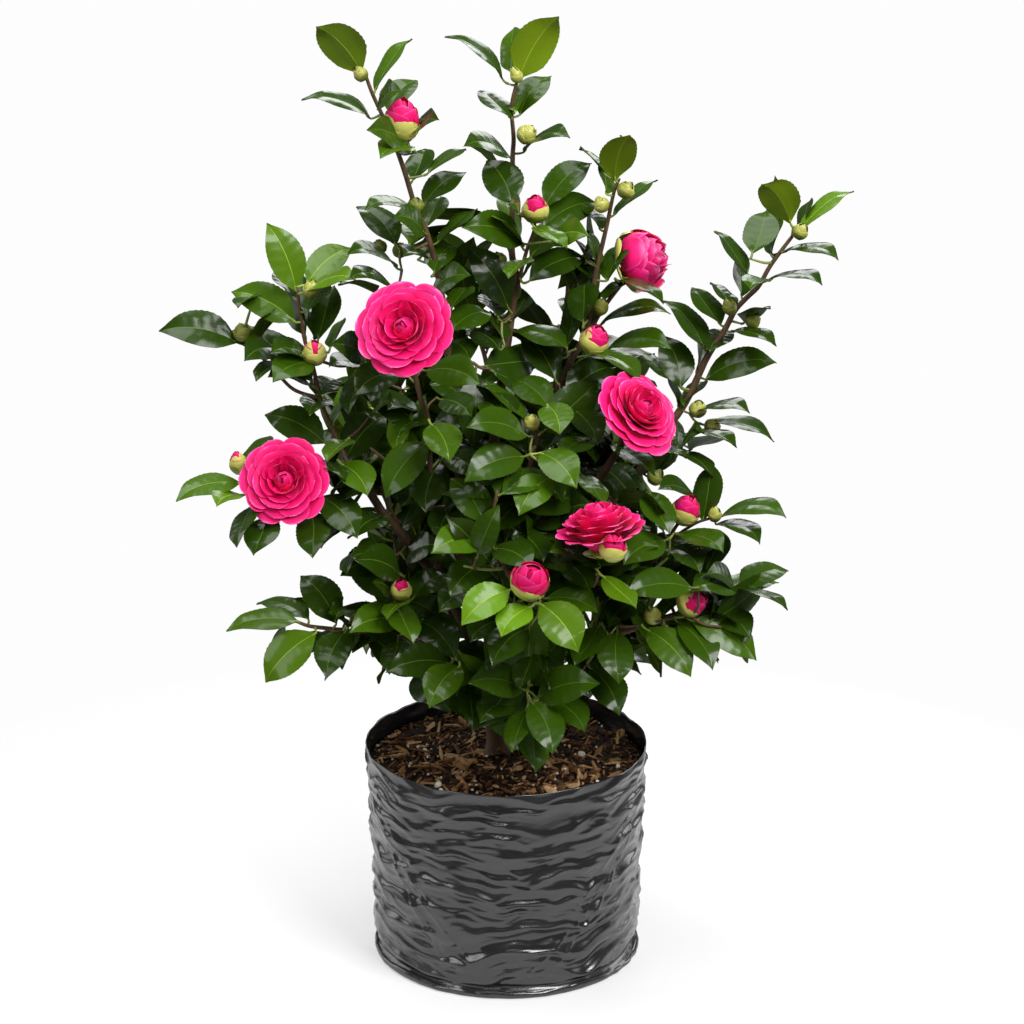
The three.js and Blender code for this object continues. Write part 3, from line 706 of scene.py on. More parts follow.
# Side limbs that carry the blooms and smaller shoots: from a named line, at a share of
# its length, through these points.
SIDE = {
    "left_shoot": ("left_arm", 1.0, [(-164, -45, 552), (-176, -45, 583), (-183, -45, 617), (-192, -45, 651), (-196, -45, 685), (-198, -45, 698)], (2.9, 1.6)),
    "far_left": ("left_shoot", 0.42, [(-204, -37, 596), (-226, -30, 618), (-250, -26, 637)], (2.0, 1.4)),
    "bloom_left": ("left_arm", 1.0, [(-177, -78, 523), (-196, -90, 524)], (3.2, 2.5)),
    "bloom_upper": ("bough_left", 0.62, [(-72, -58, 500), (-74, -60, 567), (-80, -75, 594), (-87, -88, 630), (-94, -97, 664)], (3.2, 2.4)),
    "bud_crown": ("top_centre", 0.22, [(18, 10, 715), (26, 5, 739), (27, 0, 752)], (2.2, 1.7)),
    "bloom_half": ("right_centre", 0.16, [(96, 8, 668), (109, 14, 684), (119, 18, 698)], (2.4, 1.9)),
    "bloom_front": ("bough_low_right", 0.40, [(60, -70, 400), (74, -120, 448), (84, -146, 474), (87, -156, 484)], (3.0, 2.3)),
    "right_mid": ("bough_right", 0.52, [(112, -34, 400), (129, -60, 411), (139, -65, 430), (152, -70, 446), (159, -75, 465), (169, -80, 482)], (3.0, 1.7)),
    "right_mid_tip": ("right_mid", 0.82, [(180, -78, 474), (198, -80, 481)], (1.7, 1.3)),
    "mid_centre": ("bough_leader", 0.42, [(6, -30, 480), (18, -52, 513), (28, -60, 548), (26, -68, 572)], (2.4, 1.6)),
    "front_crown": ("bough_front", 0.8, [(-12, -120, 470), (-16, -140, 492)], (2.4, 1.7)),
    "low_bud": ("front_low", 0.5, [(20, -92, 300), (26, -92, 298)], (1.8, 1.3)),
    "left_bud": ("bough_low_left", 0.72, [(-96, -70, 372), (-101, -88, 392)], (2.0, 1.5)),
    "mid_left": ("bough_left", 0.86, [(-118, -62, 500), (-112, -76, 520), (-104, -84, 548)], (2.4, 1.6)),
    "upper_back": ("bough_leader", 0.80, [(-24, 30, 620), (-48, 56, 660), (-56, 62, 690)], (2.8, 1.6)),
    "upper_back_right": ("bough_right_centre", 0.78, [(50, 30, 600), (58, 56, 650), (60, 62, 690)], (2.8, 1.6)),
}

# Masses of foliage: the line each is laid along, and the limb or shoot that feeds it.
MASSES = {
    "foliage_top_left": ((-64, -14, 668), (-156, -30, 944), "top_left"),
    "foliage_top_centre": ((6, 14, 690), (26, 22, 946), "top_centre"),
    "foliage_right_centre": ((60, -4, 580), (116, -4, 843), "right_centre"),
    "foliage_right_top": ((212, -2, 662), (306, 0, 806), "right_tall"),
    "foliage_right_lower": ((146, -2, 508), (232, -2, 680), "right_tall"),
    "foliage_left_shoot": ((-160, -42, 556), (-216, -45, 762), "left_shoot"),
    "foliage_far_left": ((-226, -34, 624), (-334, -22, 655), "far_left"),
    "foliage_bloom_left": ((-130, -58, 512), (-312, -94, 520), "bloom_left"),
    "foliage_low_left": ((-98, -46, 352), (-273, -86, 366), "low_left"),
    "foliage_low_right": ((106, -52, 350), (278, -90, 428), "low_right"),
    "foliage_right_mid": ((124, -42, 432), (268, -84, 492), "right_mid"),
    "foliage_bloom_right": ((112, -60, 512), (148, -92, 656), "bloom_right"),
    "foliage_front_right": ((84, -92, 392), (88, -150, 542), "bloom_front"),
    "foliage_front_centre": ((4, -112, 374), (-4, -122, 552), "front"),
    "foliage_front_left": ((-98, -66, 456), (-80, -80, 622), "mid_left"),
    "foliage_upper_left": ((-92, -56, 612), (-86, -44, 738), "bloom_upper"),
    "foliage_upper_centre": ((-4, -34, 566), (6, -18, 738), "bough_leader"),
    "foliage_skirt_front": ((14, -64, 230), (2, -84, 376), "front_low"),
    "foliage_skirt_left": ((-82, 12, 268), (-114, 14, 388), "bough_side_left"),
    "foliage_skirt_right": ((82, 10, 258), (118, 12, 388), "bough_side_right"),
    "foliage_left_inner": ((-112, 14, 404), (-140, 6, 566), "bough_left"),
    "foliage_right_inner": ((96, 12, 400), (96, 14, 512), "bough_right"),
    "foliage_back_low_left": ((-78, 108, 284), (-92, 130, 440), "bough_back_low_left"),
    "foliage_back_low_right": ((74, 108, 286), (92, 130, 436), "bough_back_low_right"),
    "foliage_back_left": ((-104, 88, 446), (-124, 96, 608), "bough_back_left"),
    "foliage_back_right": ((90, 88, 440), (120, 94, 602), "bough_back_right"),
    "foliage_back_centre": ((-8, 168, 356), (-6, 196, 566), "bough_back"),
    "foliage_back_upper_left": ((-62, 56, 596), (-62, 62, 722), "upper_back"),
    "foliage_back_upper_right": ((54, 60, 584), (58, 64, 714), "upper_back_right"),
}

trees = {n: (BVHTree.FromObject(NODES[n], bpy.context.evaluated_depsgraph_get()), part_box(n)) for n in MASSES}


def depth_in(p, names=None):
    """How deep a point lies inside the foliage masses, in mm, below 0 outside them."""
    q = Vector([float(c) * MM for c in p])
    best = -1e9
    for n in (names or trees):
        tree, (lo, hi) = trees[n]
        if any(q[k] < lo[k] - 0.03 or q[k] > hi[k] + 0.03 for k in range(3)):
            continue
        co, no, _, dist = tree.find_nearest(q)
        d = (co - q).dot(no)
        best = max(best, (dist if d > 0 else -dist) / MM)
    return best


# ------------------------------------------------------------------ wood
wood, twigs = Heap(), Heap()
lines = {}


def trunk_mesh():
    a, b, bow = (np.array(x, float) for x in TRUNK)
    rows, cols = 62, 40
    V = np.empty((rows, cols, 3))
    for i in range(rows):
        t = i / (rows - 1)
        flare = max(0.0, 1 - t / 0.16)
        wide = 9.6 + (7 - 9.6) * t + (14 - 9.6) * flare * flare
        c = a + (b - a) * t + bow * 4 * t * (1 - t)
        for j in range(cols):
            g = 2 * math.pi * j / cols
            ribs = 1 + 0.22 * flare * math.cos(3 * g + 0.6)
            relief = 0.55 * (abs(wob(math.cos(g) * 3.1, math.sin(g) * 3.1, t * 5)) - 0.2) + 0.5 * wob(math.cos(g) * 1.1, math.sin(g) * 1.1, t * 3 + 4) + 0.22 * wob(math.cos(g) * 9, math.sin(g) * 9, t * 22)
            r = wide * ribs + relief * (0.35 if i in (0, rows - 1) else 1)
            V[i, j] = c + np.array([r * math.cos(g), r * math.sin(g), 0])
    i = (np.arange(rows - 1)[:, None] * cols + np.arange(cols)[None, :])
    j = (np.arange(rows - 1)[:, None] * cols + (np.arange(cols)[None, :] + 1) % cols)
    q = np.stack([i, j, j + cols, i + cols], -1).reshape(-1, 4)
    verts = np.vstack([V.reshape(-1, 3), a, b + np.array([0, 0, 3.0])])
    k = np.arange(cols)
    tris = np.vstack([np.stack([np.full(cols, len(verts) - 2), (k + 1) % cols, k], 1),
                      np.stack([np.full(cols, len(verts) - 1), (rows - 1) * cols + k, (rows - 1) * cols + (k + 1) % cols], 1)])
    wood.add(verts, quads=q, tris=tris)


trunk_mesh()
for i, (name, (a, b, bow, r)) in enumerate(BOUGHS.items()):
    # each starts where the CAD bough leaves the trunk's axis
    lines[name] = bowed(a, b, bow, 3.0)
    tube(wood, lines[name], r, 14, 0, 0.07, seed=3.7 * i)

for i, (name, (parent, pts, r)) in enumerate(SHOOTS.items()):
    start = lines[parent][-2:]
    line = path([start[0], start[1]] + [np.array(p, float) for p in pts], 3.5)
    lines[name] = line
    tube(twigs, line, r, 9, 0, 0.06, seed=1.3 * i)

for i, (name, (parent, share, pts, r)) in enumerate(SIDE.items()):
    src = lines[parent]
    k = min(len(src) - 1, int(share * (len(src) - 1)))
    line = path([src[k]] + [np.array(p, float) for p in pts], 3.5)
    lines[name] = line
    tube(twigs, line, r, 8, 0, 0.06, seed=40 + 1.3 * i)

# ------------------------------------------------------------------ blooms and buds
# name: centre, facing, diameter, and how it opens
bloom((-94, -118, 677), (-0.26, -0.80, 0.53), 95, rise=0.28, seed=3, spin=0.6)
bloom((-209, -104, 525), (-0.12, -0.86, 0.48), 87, rise=0.28, seed=8, spin=2.1)
bloom((124, -104, 592), (0.55, -0.53, 0.64), 89, rise=0.42, seed=14, spin=4.0, depth=0.36, rings=((0.30, 5), (0.42, 6), (0.55, 6), (0.70, 7), (0.85, 8), (1.0, 9)))
bloom((88, -158, 496), (-0.14, 0.02, 0.99), 87, rise=0.56, seed=21, spin=1.0, depth=0.60, wide=0.95, rings=((0.30, 5), (0.44, 7), (0.58, 8), (0.72, 9), (0.86, 10), (1.0, 11)))
goblet((111, 30, 701), (0.90, -0.34, 0.34), 48, 56, seed=33)
blooms += [(np.array([-95, -118, 679.0]), 47), (np.array([-209, -104, 524.0]), 43), (np.array([122, -106, 590.0]), 42),
           (np.array([88, -158, 492.0]), 42), (np.array([132, 22, 711.0]), 27)]

# foot of the bud, direction, length, width, share of pink, olive
BUDS = [
    ((-99, -36, 838), (0.10, -0.25, 1), 42, 34, 0.42, 0), ((27, 0, 752), (0.05, -0.2, 1), 27, 25, 0.25, 0),
    ((-180, -58, 628), (-0.1, -0.3, 1), 25, 22, 0.12, 0), ((80, -30, 632), (0.35, -0.35, 1), 30, 27, 0.42, 0),
    ((22, -164, 438), (0.02, -0.62, 0.75), 37, 36, 0.85, 0), ((98, -182, 475), (0.05, -0.35, 1), 29, 25, 0.24, 0),
    ((167, -82, 478), (0.30, -0.30, 1), 31, 27, 0.36, 0), ((166, -104, 400), (0.9, -0.35, 0.45), 30, 27, 0.42, 0),
    ((-254, -60, 520), (-0.15, -0.2, 1), 23, 17, 0.06, 0), ((-101, -90, 404), (0.05, -0.4, 1), 22, 20, 0.10, 0),
    ((-249, -27, 642), (-0.2, -0.2, 1), 19, 18, 0, 1), ((-186, -50, 690), (0.3, -0.2, 1), 19, 14, 0, 0),
    ((-71, -66, 548), (0.1, -0.3, 1), 20, 18, 0, 1), ((-84, -26, 766), (-0.2, -0.3, 1), 17, 15, 0, 1),
    ((-117, -20, 726), (-0.5, -0.2, 1), 15, 12, 0, 1), ((-103, -20, 722), (0.4, -0.2, 1), 16, 13, 0, 1),
    ((14, 18, 826), (0.7, -0.3, 0.7), 20, 18, 0, 0), ((92, -4, 762), (-0.3, -0.2, 1), 17, 14, 0, 0),
    ((110, -4, 776), (0.5, -0.2, 1), 18, 16, 0, 0), ((-4, 10, 706), (-0.4, -0.2, 1), 15, 12, 0, 1),
    ((88, -12, 664), (0.3, -0.3, 1), 18, 14, 0, 1), ((25, -70, 566), (-0.1, -0.3, 1), 18, 14, 0, 0),
    ((184, -10, 562), (0.1, -0.3, 1), 18, 16, 0, 0), ((195, -10, 546), (0.6, -0.2, 0.7), 17, 15, 0, 0),
    ((141, -30, 500), (0.5, -0.2, 1), 18, 16, 0, 1), ((198, -80, 478), (0.1, -0.2, 1), 16, 12, 0, 0),
    ((140, -82, 376), (0.1, -0.3, 1), 19, 16, 0, 0), ((27, -94, 292), (0.2, -0.3, 1), 15, 12, 0, 0),
    ((-16, -142, 488), (0.1, -0.2, 1), 19, 13, 0, 1), ((-48, -80, 336), (0.0, -0.3, 1), 13, 10, 0, 0),
    ((216, -4, 662), (-0.4, -0.2, 1), 17, 13, 0, 1), ((232, -4, 650), (0.7, -0.2, 0.7), 16, 13, 0, 1),
    ((276, -2, 736), (0.5, -0.2, 0.8), 17, 14, 0, 0), ((-132, -32, 892), (-0.5, -0.1, 1), 17, 12, 0, 0),
    ((12, 24, 880), (-0.4, -0.1, 1), 16, 11, 0, 0), ((150, 110, 520), (0.5, 0.7, 0.6), 26, 23, 0.35, 0),
    ((-140, 130, 540), (-0.5, 0.7, 0.6), 24, 21, 0.3, 0), ((-10, 236, 500), (0, 1, 0.6), 28, 26, 0.4, 0),
    ((-60, 90, 690), (-0.2, 0.6, 1), 20, 17, 0, 0), ((70, 178, 420), (0.4, 0.9, 0.4), 18, 15, 0, 0),
]
for i, (p, d, length, width, pink, olive) in enumerate(BUDS):
    bud(p, d, length, width, pink, bool(olive), i)
    blooms.append((np.array(p, float) + unit(d) * length * 0.5, width * 0.62))

# ------------------------------------------------------------------ leaves set one by one on the best side
# foot of the blade, tip, upper face's normal in hundredths, width, tone (partly painted shade and light: darker where
# a leaf is in shade, brighter where it is lit), bend in hundredths
LEAVES_SET = [
    (-134, -30, 898, -174, -64, 949, -20, 88, 42, 39, 3, 35), (-122, -30, 882, -90, -7, 928, -71, -28, 64, 33, 3, 50), (-126, -32, 856, -190, -24, 875, 25, -19, 95, 34, 1, 85),
    (-119, -34, 866, -98, -76, 891, -90, -25, 36, 28, 2, 50), (-110, -20, 860, -84, 14, 885, -22, -47, 86, 36, 2, 50), (-88, -30, 839, -64, -72, 864, -80, -10, 59, 28, 1, 50),
    (-88, -42, 828, -125, -84, 857, 80, -39, 45, 36, 2, 50), (-86, -48, 832, -115, -90, 833, 26, -15, 96, 31, 3, 50), (-88, -18, 795, -77, 16, 819, -33, -49, 81, 31, 1, 50),
    (-73, -22, 803, -39, 12, 820, -37, -9, 92, 33, 2, 50), (-77, -30, 773, -39, 4, 800, -31, -35, 89, 36, 1, 50), (-104, -30, 734, -142, 4, 766, 29, -47, 83, 36, 1, 50),
    (-81, -28, 766, -130, -69, 781, 30, -1, 95, 33, 2, 85), (-77, -36, 748, -102, -78, 774, 89, -32, 32, 31, 2, 50), (-75, -20, 751, -64, 14, 773, -44, -40, 80, 31, 2, 50),
    (-65, -18, 735, -29, 16, 762, -51, -15, 85, 33, 2, 50), (-68, -32, 709, -51, 2, 728, -19, -41, 89, 31, 2, 50), (-74, -20, 720, -95, -62, 734, 46, 6, 89, 28, 1, 50),
    (-91, -18, 733, -102, 16, 747, 56, -16, 81, 31, 3, 50), (-81, -8, 719, -61, 26, 736, -40, -20, 89, 28, 1, 50), (-103, -36, 714, -146, -78, 740, 53, -1, 85, 33, 1, 85),
    (-107, -48, 699, -144, -90, 720, 53, -2, 85, 33, 1, 85), (-123, -44, 692, -156, -86, 713, 7, 40, 91, 28, 1, 35), (-70, -28, 690, -36, -70, 716, -80, -36, 48, 31, 2, 50),
    (-53, -36, 675, -37, -2, 689, -38, -19, 91, 31, 2, 50), (-51, -44, 656, -14, -10, 666, 10, -38, 92, 36, 2, 50), (-75, -78, 625, -26, -120, 626, -45, -51, 73, 36, 2, 50),
    (-198, -46, 694, -224, -38, 758, 35, -90, 25, 36, 4, 50), (-188, -42, 700, -146, -12, 730, -10, -63, 77, 34, 4, 50), (-188, -50, 695, -141, -92, 719, -52, -11, 85, 34, 4, 50),
    (-199, -50, 665, -261, -31, 691, -1, -82, 57, 36, 3, 50), (-202, -36, 686, -217, -2, 702, 53, -16, 83, 28, 0, 50), (-189, -54, 676, -171, -20, 696, -44, -28, 86, 31, 2, 50),
    (-179, -38, 645, -166, -4, 691, -54, -60, 60, 36, 1, 50), (-182, -36, 644, -190, -2, 670, 76, -28, 59, 31, 1, 50), (-168, -32, 635, -157, 2, 656, -72, -18, 67, 28, 3, 50),
    (-256, -28, 639, -329, -39, 655, 25, -75, 61, 38, 1, 50), (-241, -30, 684, -252, -72, 687, -23, 13, 96, 28, 1, 50), (-236, -24, 639, -223, -66, 680, -66, 42, 63, 31, 1, 35),
    (-219, -34, 635, -245, -76, 636, 51, -30, 81, 31, 1, 50), (-218, -38, 624, -236, -80, 618, -19, -6, 98, 28, 1, 50), (-182, -62, 629, -217, -104, 624, 28, -34, 90, 36, 2, 50),
    (-184, -44, 630, -219, -86, 647, 52, -8, 85, 36, 1, 50), (-186, -40, 600, -222, -82, 623, 56, -1, 83, 33, 0, 50), (-180, -54, 593, -161, -20, 602, -2, -26, 97, 31, 1, 50),
    (-136, -62, 633, -161, -104, 658, 89, -44, 15, 31, 1, 50), (-102, -66, 620, -141, -108, 611, 27, -42, 87, 36, 1, 50), (-133, -44, 620, -165, -86, 634, 40, -1, 92, 28, 1, 50),
    (-137, -38, 613, -151, -80, 585, -59, -30, 75, 36, 1, 50), (-172, -34, 584, -186, -76, 583, 16, -7, 98, 31, 2, 50), (-166, -36, 560, -158, -2, 577, -78, -13, 61, 28, 2, 50),
    (-172, -62, 549, -232, -36, 571, -10, -75, 65, 36, 1, 50), (-247, -72, 528, -227, -38, 551, -50, -28, 82, 36, 2, 50), (-251, -76, 514, -311, -108, 509, 7, -28, 96, 36, 3, 50),
    (-250, -84, 505, -271, -126, 509, 14, 4, 99, 29, 4, 50), (-242, -90, 496, -255, -132, 470, -65, -27, 72, 36, 1, 50), (-227, -95, 488, -238, -137, 464, -25, -42, 87, 36, 1, 50),
    (-185, -92, 490, -183, -134, 460, -26, -57, 78, 36, 1, 50), (-161, -76, 470, -176, -118, 465, -39, 3, 92, 28, 1, 50), (-176, -88, 504, -140, -130, 478, -8, -57, 82, 36, 1, 50),
    (-115, -70, 478, -142, -112, 474, 23, -24, 94, 31, 1, 50), (-157, -78, 534, -130, -120, 517, -2, -40, 92, 36, 3, 50), (-176, -68, 534, -150, -110, 529, 28, 4, 96, 28, 1, 50),
    (-154, -52, 529, -115, -22, 568, 0, -79, 62, 38, 0, 50), (-152, -64, 553, -170, -106, 547, -18, -7, 98, 31, 3, 50), (-77, -52, 569, -102, -94, 568, 5, -6, 100, 31, 1, 50),
    (-84, -48, 576, -111, -90, 593, 38, 13, 92, 28, 1, 50), (-128, -50, 574, -108, -92, 600, -79, 1, 61, 28, 2, 50), (-130, -44, 524, -107, -10, 535, -21, -17, 96, 28, 2, 50),
    (-74, -78, 555, -114, -107, 510, -7, -81, 58, 37, 2, 50), (-71, -88, 576, -53, -130, 553, -3, -48, 88, 37, 3, 50), (-63, -50, 527, -77, -92, 491, -10, -63, 77, 40, 0, 50),
    (-21, -120, 487, -53, -86, 523, 14, -65, 74, 36, 2, 50), (-58, -58, 536, -28, -100, 528, -33, -39, 86, 31, 0, 50), (17, -98, 547, -38, -138, 536, 36, -66, 66, 36, 2, 50),
    (20, -84, 563, -35, -126, 586, 62, -43, 66, 36, 2, 50), (32, -96, 550, 65, -138, 530, -20, -53, 82, 36, 3, 50), (43, -100, 528, 12, -142, 505, 11, -54, 83, 36, 3, 50),
    (72, -82, 524, 93, -124, 509, 36, -14, 92, 31, 2, 50), (121, -52, 489, 89, -18, 513, -14, -66, 74, 38, 0, 50), (-19, -136, 477, -68, -178, 480, 46, -47, 76, 36, 3, 50),
    (-11, -114, 478, 24, -80, 500, 1, -55, 83, 36, 1, 50), (-12, -128, 466, 23, -170, 461, -19, -28, 94, 36, 1, 50), (8, -96, 474, 35, -138, 457, 10, -31, 94, 36, 1, 50),
    (3, -166, 438, -41, -196, 415, 12, -71, 70, 35, 5, 50), (23, -176, 425, -5, -206, 408, -10, -43, 90, 34, 5, 50), (32, -166, 424, 67, -196, 388, 4, -74, 67, 42, 4, 50),
    (38, -142, 421, 85, -172, 419, -18, -35, 92, 36, 2, 50), (20, -150, 394, -13, -192, 374, 14, -52, 85, 36, 1, 50), (-49, -92, 343, -86, -58, 370, -6, -66, 75, 36, 1, 50),
    (-54, -96, 338, -113, -134, 345, 49, -64, 59, 36, 1, 50), (-44, -106, 340, -73, -148, 314, 9, -56, 82, 36, 3, 50), (-15, -100, 443, -53, -142, 424, 12, -49, 87, 36, 1, 50),
    (-89, -82, 401, -55, -48, 414, -2, -34, 94, 36, 2, 50), (16, -126, 323, -34, -168, 347, 69, -53, 49, 36, 2, 50), (30, -126, 314, 86, -167, 345, -67, -63, 38, 39, 2, 50),
    (24, -138, 315, 44, -180, 280, 11, -61, 79, 36, 2, 50), (19, -126, 304, 4, -168, 278, -49, -34, 81, 36, 2, 50), (26, -118, 287, 29, -160, 253, 52, -50, 69, 36, 2, 50),
    (41, -106, 305, 75, -148, 290, 0, -32, 95, 36, 2, 50), (9, -104, 302, -25, -146, 299, 16, -20, 97, 36, 1, 50), (81, -92, 332, 108, -134, 301, 3, -58, 81, 36, 1, 50),
    (52, -60, 297, 79, -102, 297, 24, 15, 96, 28, 0, 50), (-35, -96, 317, -30, -138, 285, 62, -42, 66, 36, 1, 50), (24, -114, 354, 12, -156, 336, -37, -27, 89, 31, 1, 50),
    (37, -98, 348, 42, -140, 328, 73, -21, 65, 28, 0, 50), (106, -110, 376, 107, -152, 340, 23, -63, 74, 37, 2, 50), (130, -62, 350, 151, -104, 328, 91, 39, 15, 33, 1, 35),
    (133, -108, 378, 175, -144, 344, 3, -67, 74, 36, 3, 50), (164, -100, 382, 196, -142, 351, 19, -49, 85, 36, 2, 50), (177, -106, 386, 240, -116, 350, 24, -74, 63, 37, 3, 50),
    (196, -80, 389, 232, -122, 375, 1, -32, 95, 36, 1, 50), (88, -100, 378, 64, -142, 356, -22, -36, 91, 36, 2, 50), (91, -148, 445, 122, -178, 426, 32, -25, 91, 34, 4, 50),
    (176, -132, 428, 112, -166, 434, 34, -51, 79, 36, 2, 50), (141, -100, 437, 113, -142, 436, -5, 2, 100, 28, 1, 50), (89, -132, 450, 42, -174, 481, 63, -15, 76, 36, 1, 50),
    (150, -116, 470, 110, -158, 462, 31, -46, 83, 36, 2, 50), (136, -92, 510, 154, -134, 484, 26, -42, 87, 36, 2, 50), (164, -96, 469, 203, -138, 468, -11, -12, 99, 36, 2, 50),
    (158, -94, 455, 182, -136, 446, -9, -25, 96, 31, 1, 50), (190, -78, 424, 208, -44, 456, -49, -45, 75, 36, 1, 50), (187, -80, 478, 196, -46, 525, -57, -61, 56, 36, 1, 50),
    (205, -80, 482, 262, -120, 497, -31, -9, 94, 36, 2, 85), (200, -80, 474, 239, -122, 471, 1, -6, 100, 33, 1, 85), (181, -60, 496, 145, -102, 518, 61, -10, 79, 28, 1, 50),
    (224, -86, 410, 273, -52, 420, 1, -32, 95, 36, 2, 50), (222, -84, 408, 267, -126, 407, 16, 14, 98, 33, 1, 85), (220, -74, 407, 191, -116, 437, 83, -18, 53, 28, 1, 50),
    (219, -92, 410, 176, -134, 428, 46, -9, 88, 36, 2, 50), (147, -88, 382, 169, -54, 397, -41, -13, 90, 28, 1, 50), (270, 0, 749, 238, -42, 799, -13, 80, 59, 37, 4, 35),
    (280, 5, 740, 330, 21, 778, -56, -18, 81, 34, 4, 50), (234, -5, 721, 248, 29, 756, -28, -64, 72, 36, 2, 50), (230, -8, 700, 201, 23, 738, 63, -28, 72, 33, 1, 50),
    (253, 10, 716, 263, 44, 747, -87, -19, 46, 33, 2, 50), (283, 15, 737, 293, 49, 763, -87, -11, 48, 28, 1, 50), (263, -5, 722, 312, -44, 727, -12, -3, 99, 33, 1, 85),
    (250, -8, 696, 297, -49, 704, -13, 3, 99, 33, 1, 85), (226, 5, 676, 224, 39, 706, 74, -43, 53, 28, 1, 50), (249, -16, 697, 229, -58, 700, 7, 3, 100, 28, 2, 50),
    (206, -3, 650, 180, 31, 680, 46, -37, 81, 36, 1, 50), (219, -5, 667, 198, 29, 685, 47, -17, 87, 28, 1, 50), (229, 5, 651, 250, -37, 678, -12, 50, 86, 28, 1, 35),
    (191, -5, 626, 153, 24, 669, 51, -44, 74, 36, 1, 50), (217, -5, 644, 256, -47, 644, 0, 1, 100, 33, 1, 85), (195, -12, 626, 218, 22, 639, -13, -28, 95, 31, 1, 50),
    (192, -10, 598, 257, -28, 621, -41, -58, 70, 36, 1, 85), (168, -5, 588, 153, 29, 632, 18, -75, 64, 36, 1, 50), (166, 0, 590, 123, 29, 618, 43, -20, 88, 33, 1, 50),
    (170, -8, 572, 193, 26, 588, -50, -7, 86, 28, 2, 50), (182, -10, 564, 231, -50, 579, -25, 5, 97, 33, 1, 85), (193, -12, 553, 259, -22, 542, 14, -10, 99, 34, 1, 85),
    (182, -16, 547, 220, -58, 547, 7, 8, 99, 33, 1, 85), (178, -4, 525, 219, -46, 551, -4, 49, 87, 33, 1, 35), (168, -20, 526, 198, -62, 518, 25, -1, 97, 33, 0, 85),
    (98, -5, 627, 156, -44, 639, -34, -22, 91, 36, 2, 85), (90, -3, 650, 156, -13, 667, -27, -11, 96, 35, 1, 85), (80, -42, 631, 126, -81, 616, 16, -18, 97, 33, 2, 85),
    (103, -2, 791, 115, -44, 845, -2, 78, 62, 35, 4, 35), (95, -3, 778, 92, 31, 799, 80, -26, 54, 28, 3, 50), (93, 2, 797, 71, 36, 815, 62, -1, 78, 28, 2, 50),
    (102, 0, 757, 143, 30, 787, -55, -10, 83, 33, 2, 50), (90, 3, 742, 78, 37, 757, 54, -16, 83, 28, 1, 50), (85, -3, 708, 82, 31, 735, 87, -28, 42, 28, 2, 50),
    (96, -5, 694, 113, 29, 724, -66, -29, 69, 36, 2, 50), (93, -3, 675, 115, 31, 686, -38, -6, 92, 28, 2, 50), (108, -8, 695, 149, -50, 686, 21, -1, 98, 33, 1, 85),
    (73, -27, 659, 74, 7, 691, -58, -55, 61, 36, 1, 50), (84, 0, 690, 67, 34, 704, 60, -5, 80, 28, 1, 50), (58, -15, 631, 71, 19, 681, -75, -44, 49, 36, 1, 50),
    (57, -36, 587, 106, -2, 610, 16, -71, 69, 36, 0, 50), (47, -20, 600, 14, 14, 638, 23, -62, 75, 36, 0, 50), (58, -26, 633, 6, 8, 643, 1, -26, 96, 36, 2, 50),
    (41, -56, 582, 4, -22, 602, 5, -46, 89, 36, 2, 50), (38, -66, 589, 50, -108, 573, -8, -38, 92, 34, 3, 50), (57, -40, 581, 87, -82, 555, 23, -38, 90, 36, 0, 50),
    (37, -50, 538, 54, -16, 552, -43, -16, 89, 31, 1, 50), (89, -56, 553, 52, -98, 548, -3, -7, 100, 36, 2, 50), (101, -62, 550, 141, -104, 533, 26, -16, 95, 36, 1, 50),
    (-8, -8, 660, -17, 26, 673, 40, -24, 88, 31, 0, 50), (-3, -20, 639, -12, 14, 659, 67, -26, 70, 28, 1, 50), (4, 6, 651, 20, 40, 668, -46, -22, 86, 28, 1, 50),
    (2, -5, 667, -37, 3, 726, 29, -90, 32, 36, 0, 50), (22, -5, 694, 79, 25, 711, 2, -52, 85, 36, 1, 50), (16, -6, 731, -39, -48, 757, 67, -62, 41, 36, 2, 50),
    (6, -6, 768, -19, 28, 805, 2, -73, 68, 39, 1, 50), (37, 5, 764, 81, 34, 802, -23, -63, 74, 36, 2, 50), (34, -3, 745, 89, 29, 764, 11, -65, 75, 36, 2, 50),
    (27, -12, 748, 58, -54, 739, 12, -12, 99, 28, 3, 50), (43, -10, 734, 75, -52, 750, -76, -35, 55, 31, 3, 50), (16, -16, 717, 1, -58, 712, -24, -4, 97, 31, 3, 50),
    (13, -6, 757, 5, -48, 779, 98, -9, 20, 28, 2, 50), (78, 5, 710, 64, 39, 727, 76, -1, 65, 28, 0, 50), (12, 25, 883, 49, 15, 945, -8, 97, 21, 42, 4, 35),
    (4, 33, 888, 6, 67, 926, -78, -44, 44, 36, 3, 50), (-3, 25, 882, -56, 33, 924, 60, -17, 78, 35, 1, 85), (13, 28, 848, 42, 62, 881, -36, -48, 80, 36, 2, 50),
    (5, 14, 847, -25, 48, 869, 38, -22, 90, 36, 1, 50), (8, 16, 853, 18, 50, 867, -66, -12, 74, 28, 3, 50), (16, 22, 813, 58, -20, 838, -52, -2, 85, 33, 1, 85),
    (4, 22, 808, -38, -20, 830, 59, -18, 79, 36, 1, 85), (-6, -90, 416, -35, -56, 430, -17, -50, 85, 31, 0, 50), (51, -110, 448, 78, -152, 433, 6, -31, 95, 36, 0, 50),
    (-1, -110, 388, -34, -152, 383, 19, -26, 95, 36, 1, 50), (52, -70, 353, 90, -112, 353, -26, -23, 94, 36, 0, 50), (128, -80, 397, 98, -122, 387, 13, -33, 94, 31, 1, 50),
    (-64, -60, 370, -104, -26, 378, -7, -33, 94, 36, 1, 50), (-117, -62, 432, -146, -104, 450, 82, -40, 41, 31, 1, 50), (-102, -72, 420, -141, -114, 450, 80, -49, 35, 36, 1, 50),
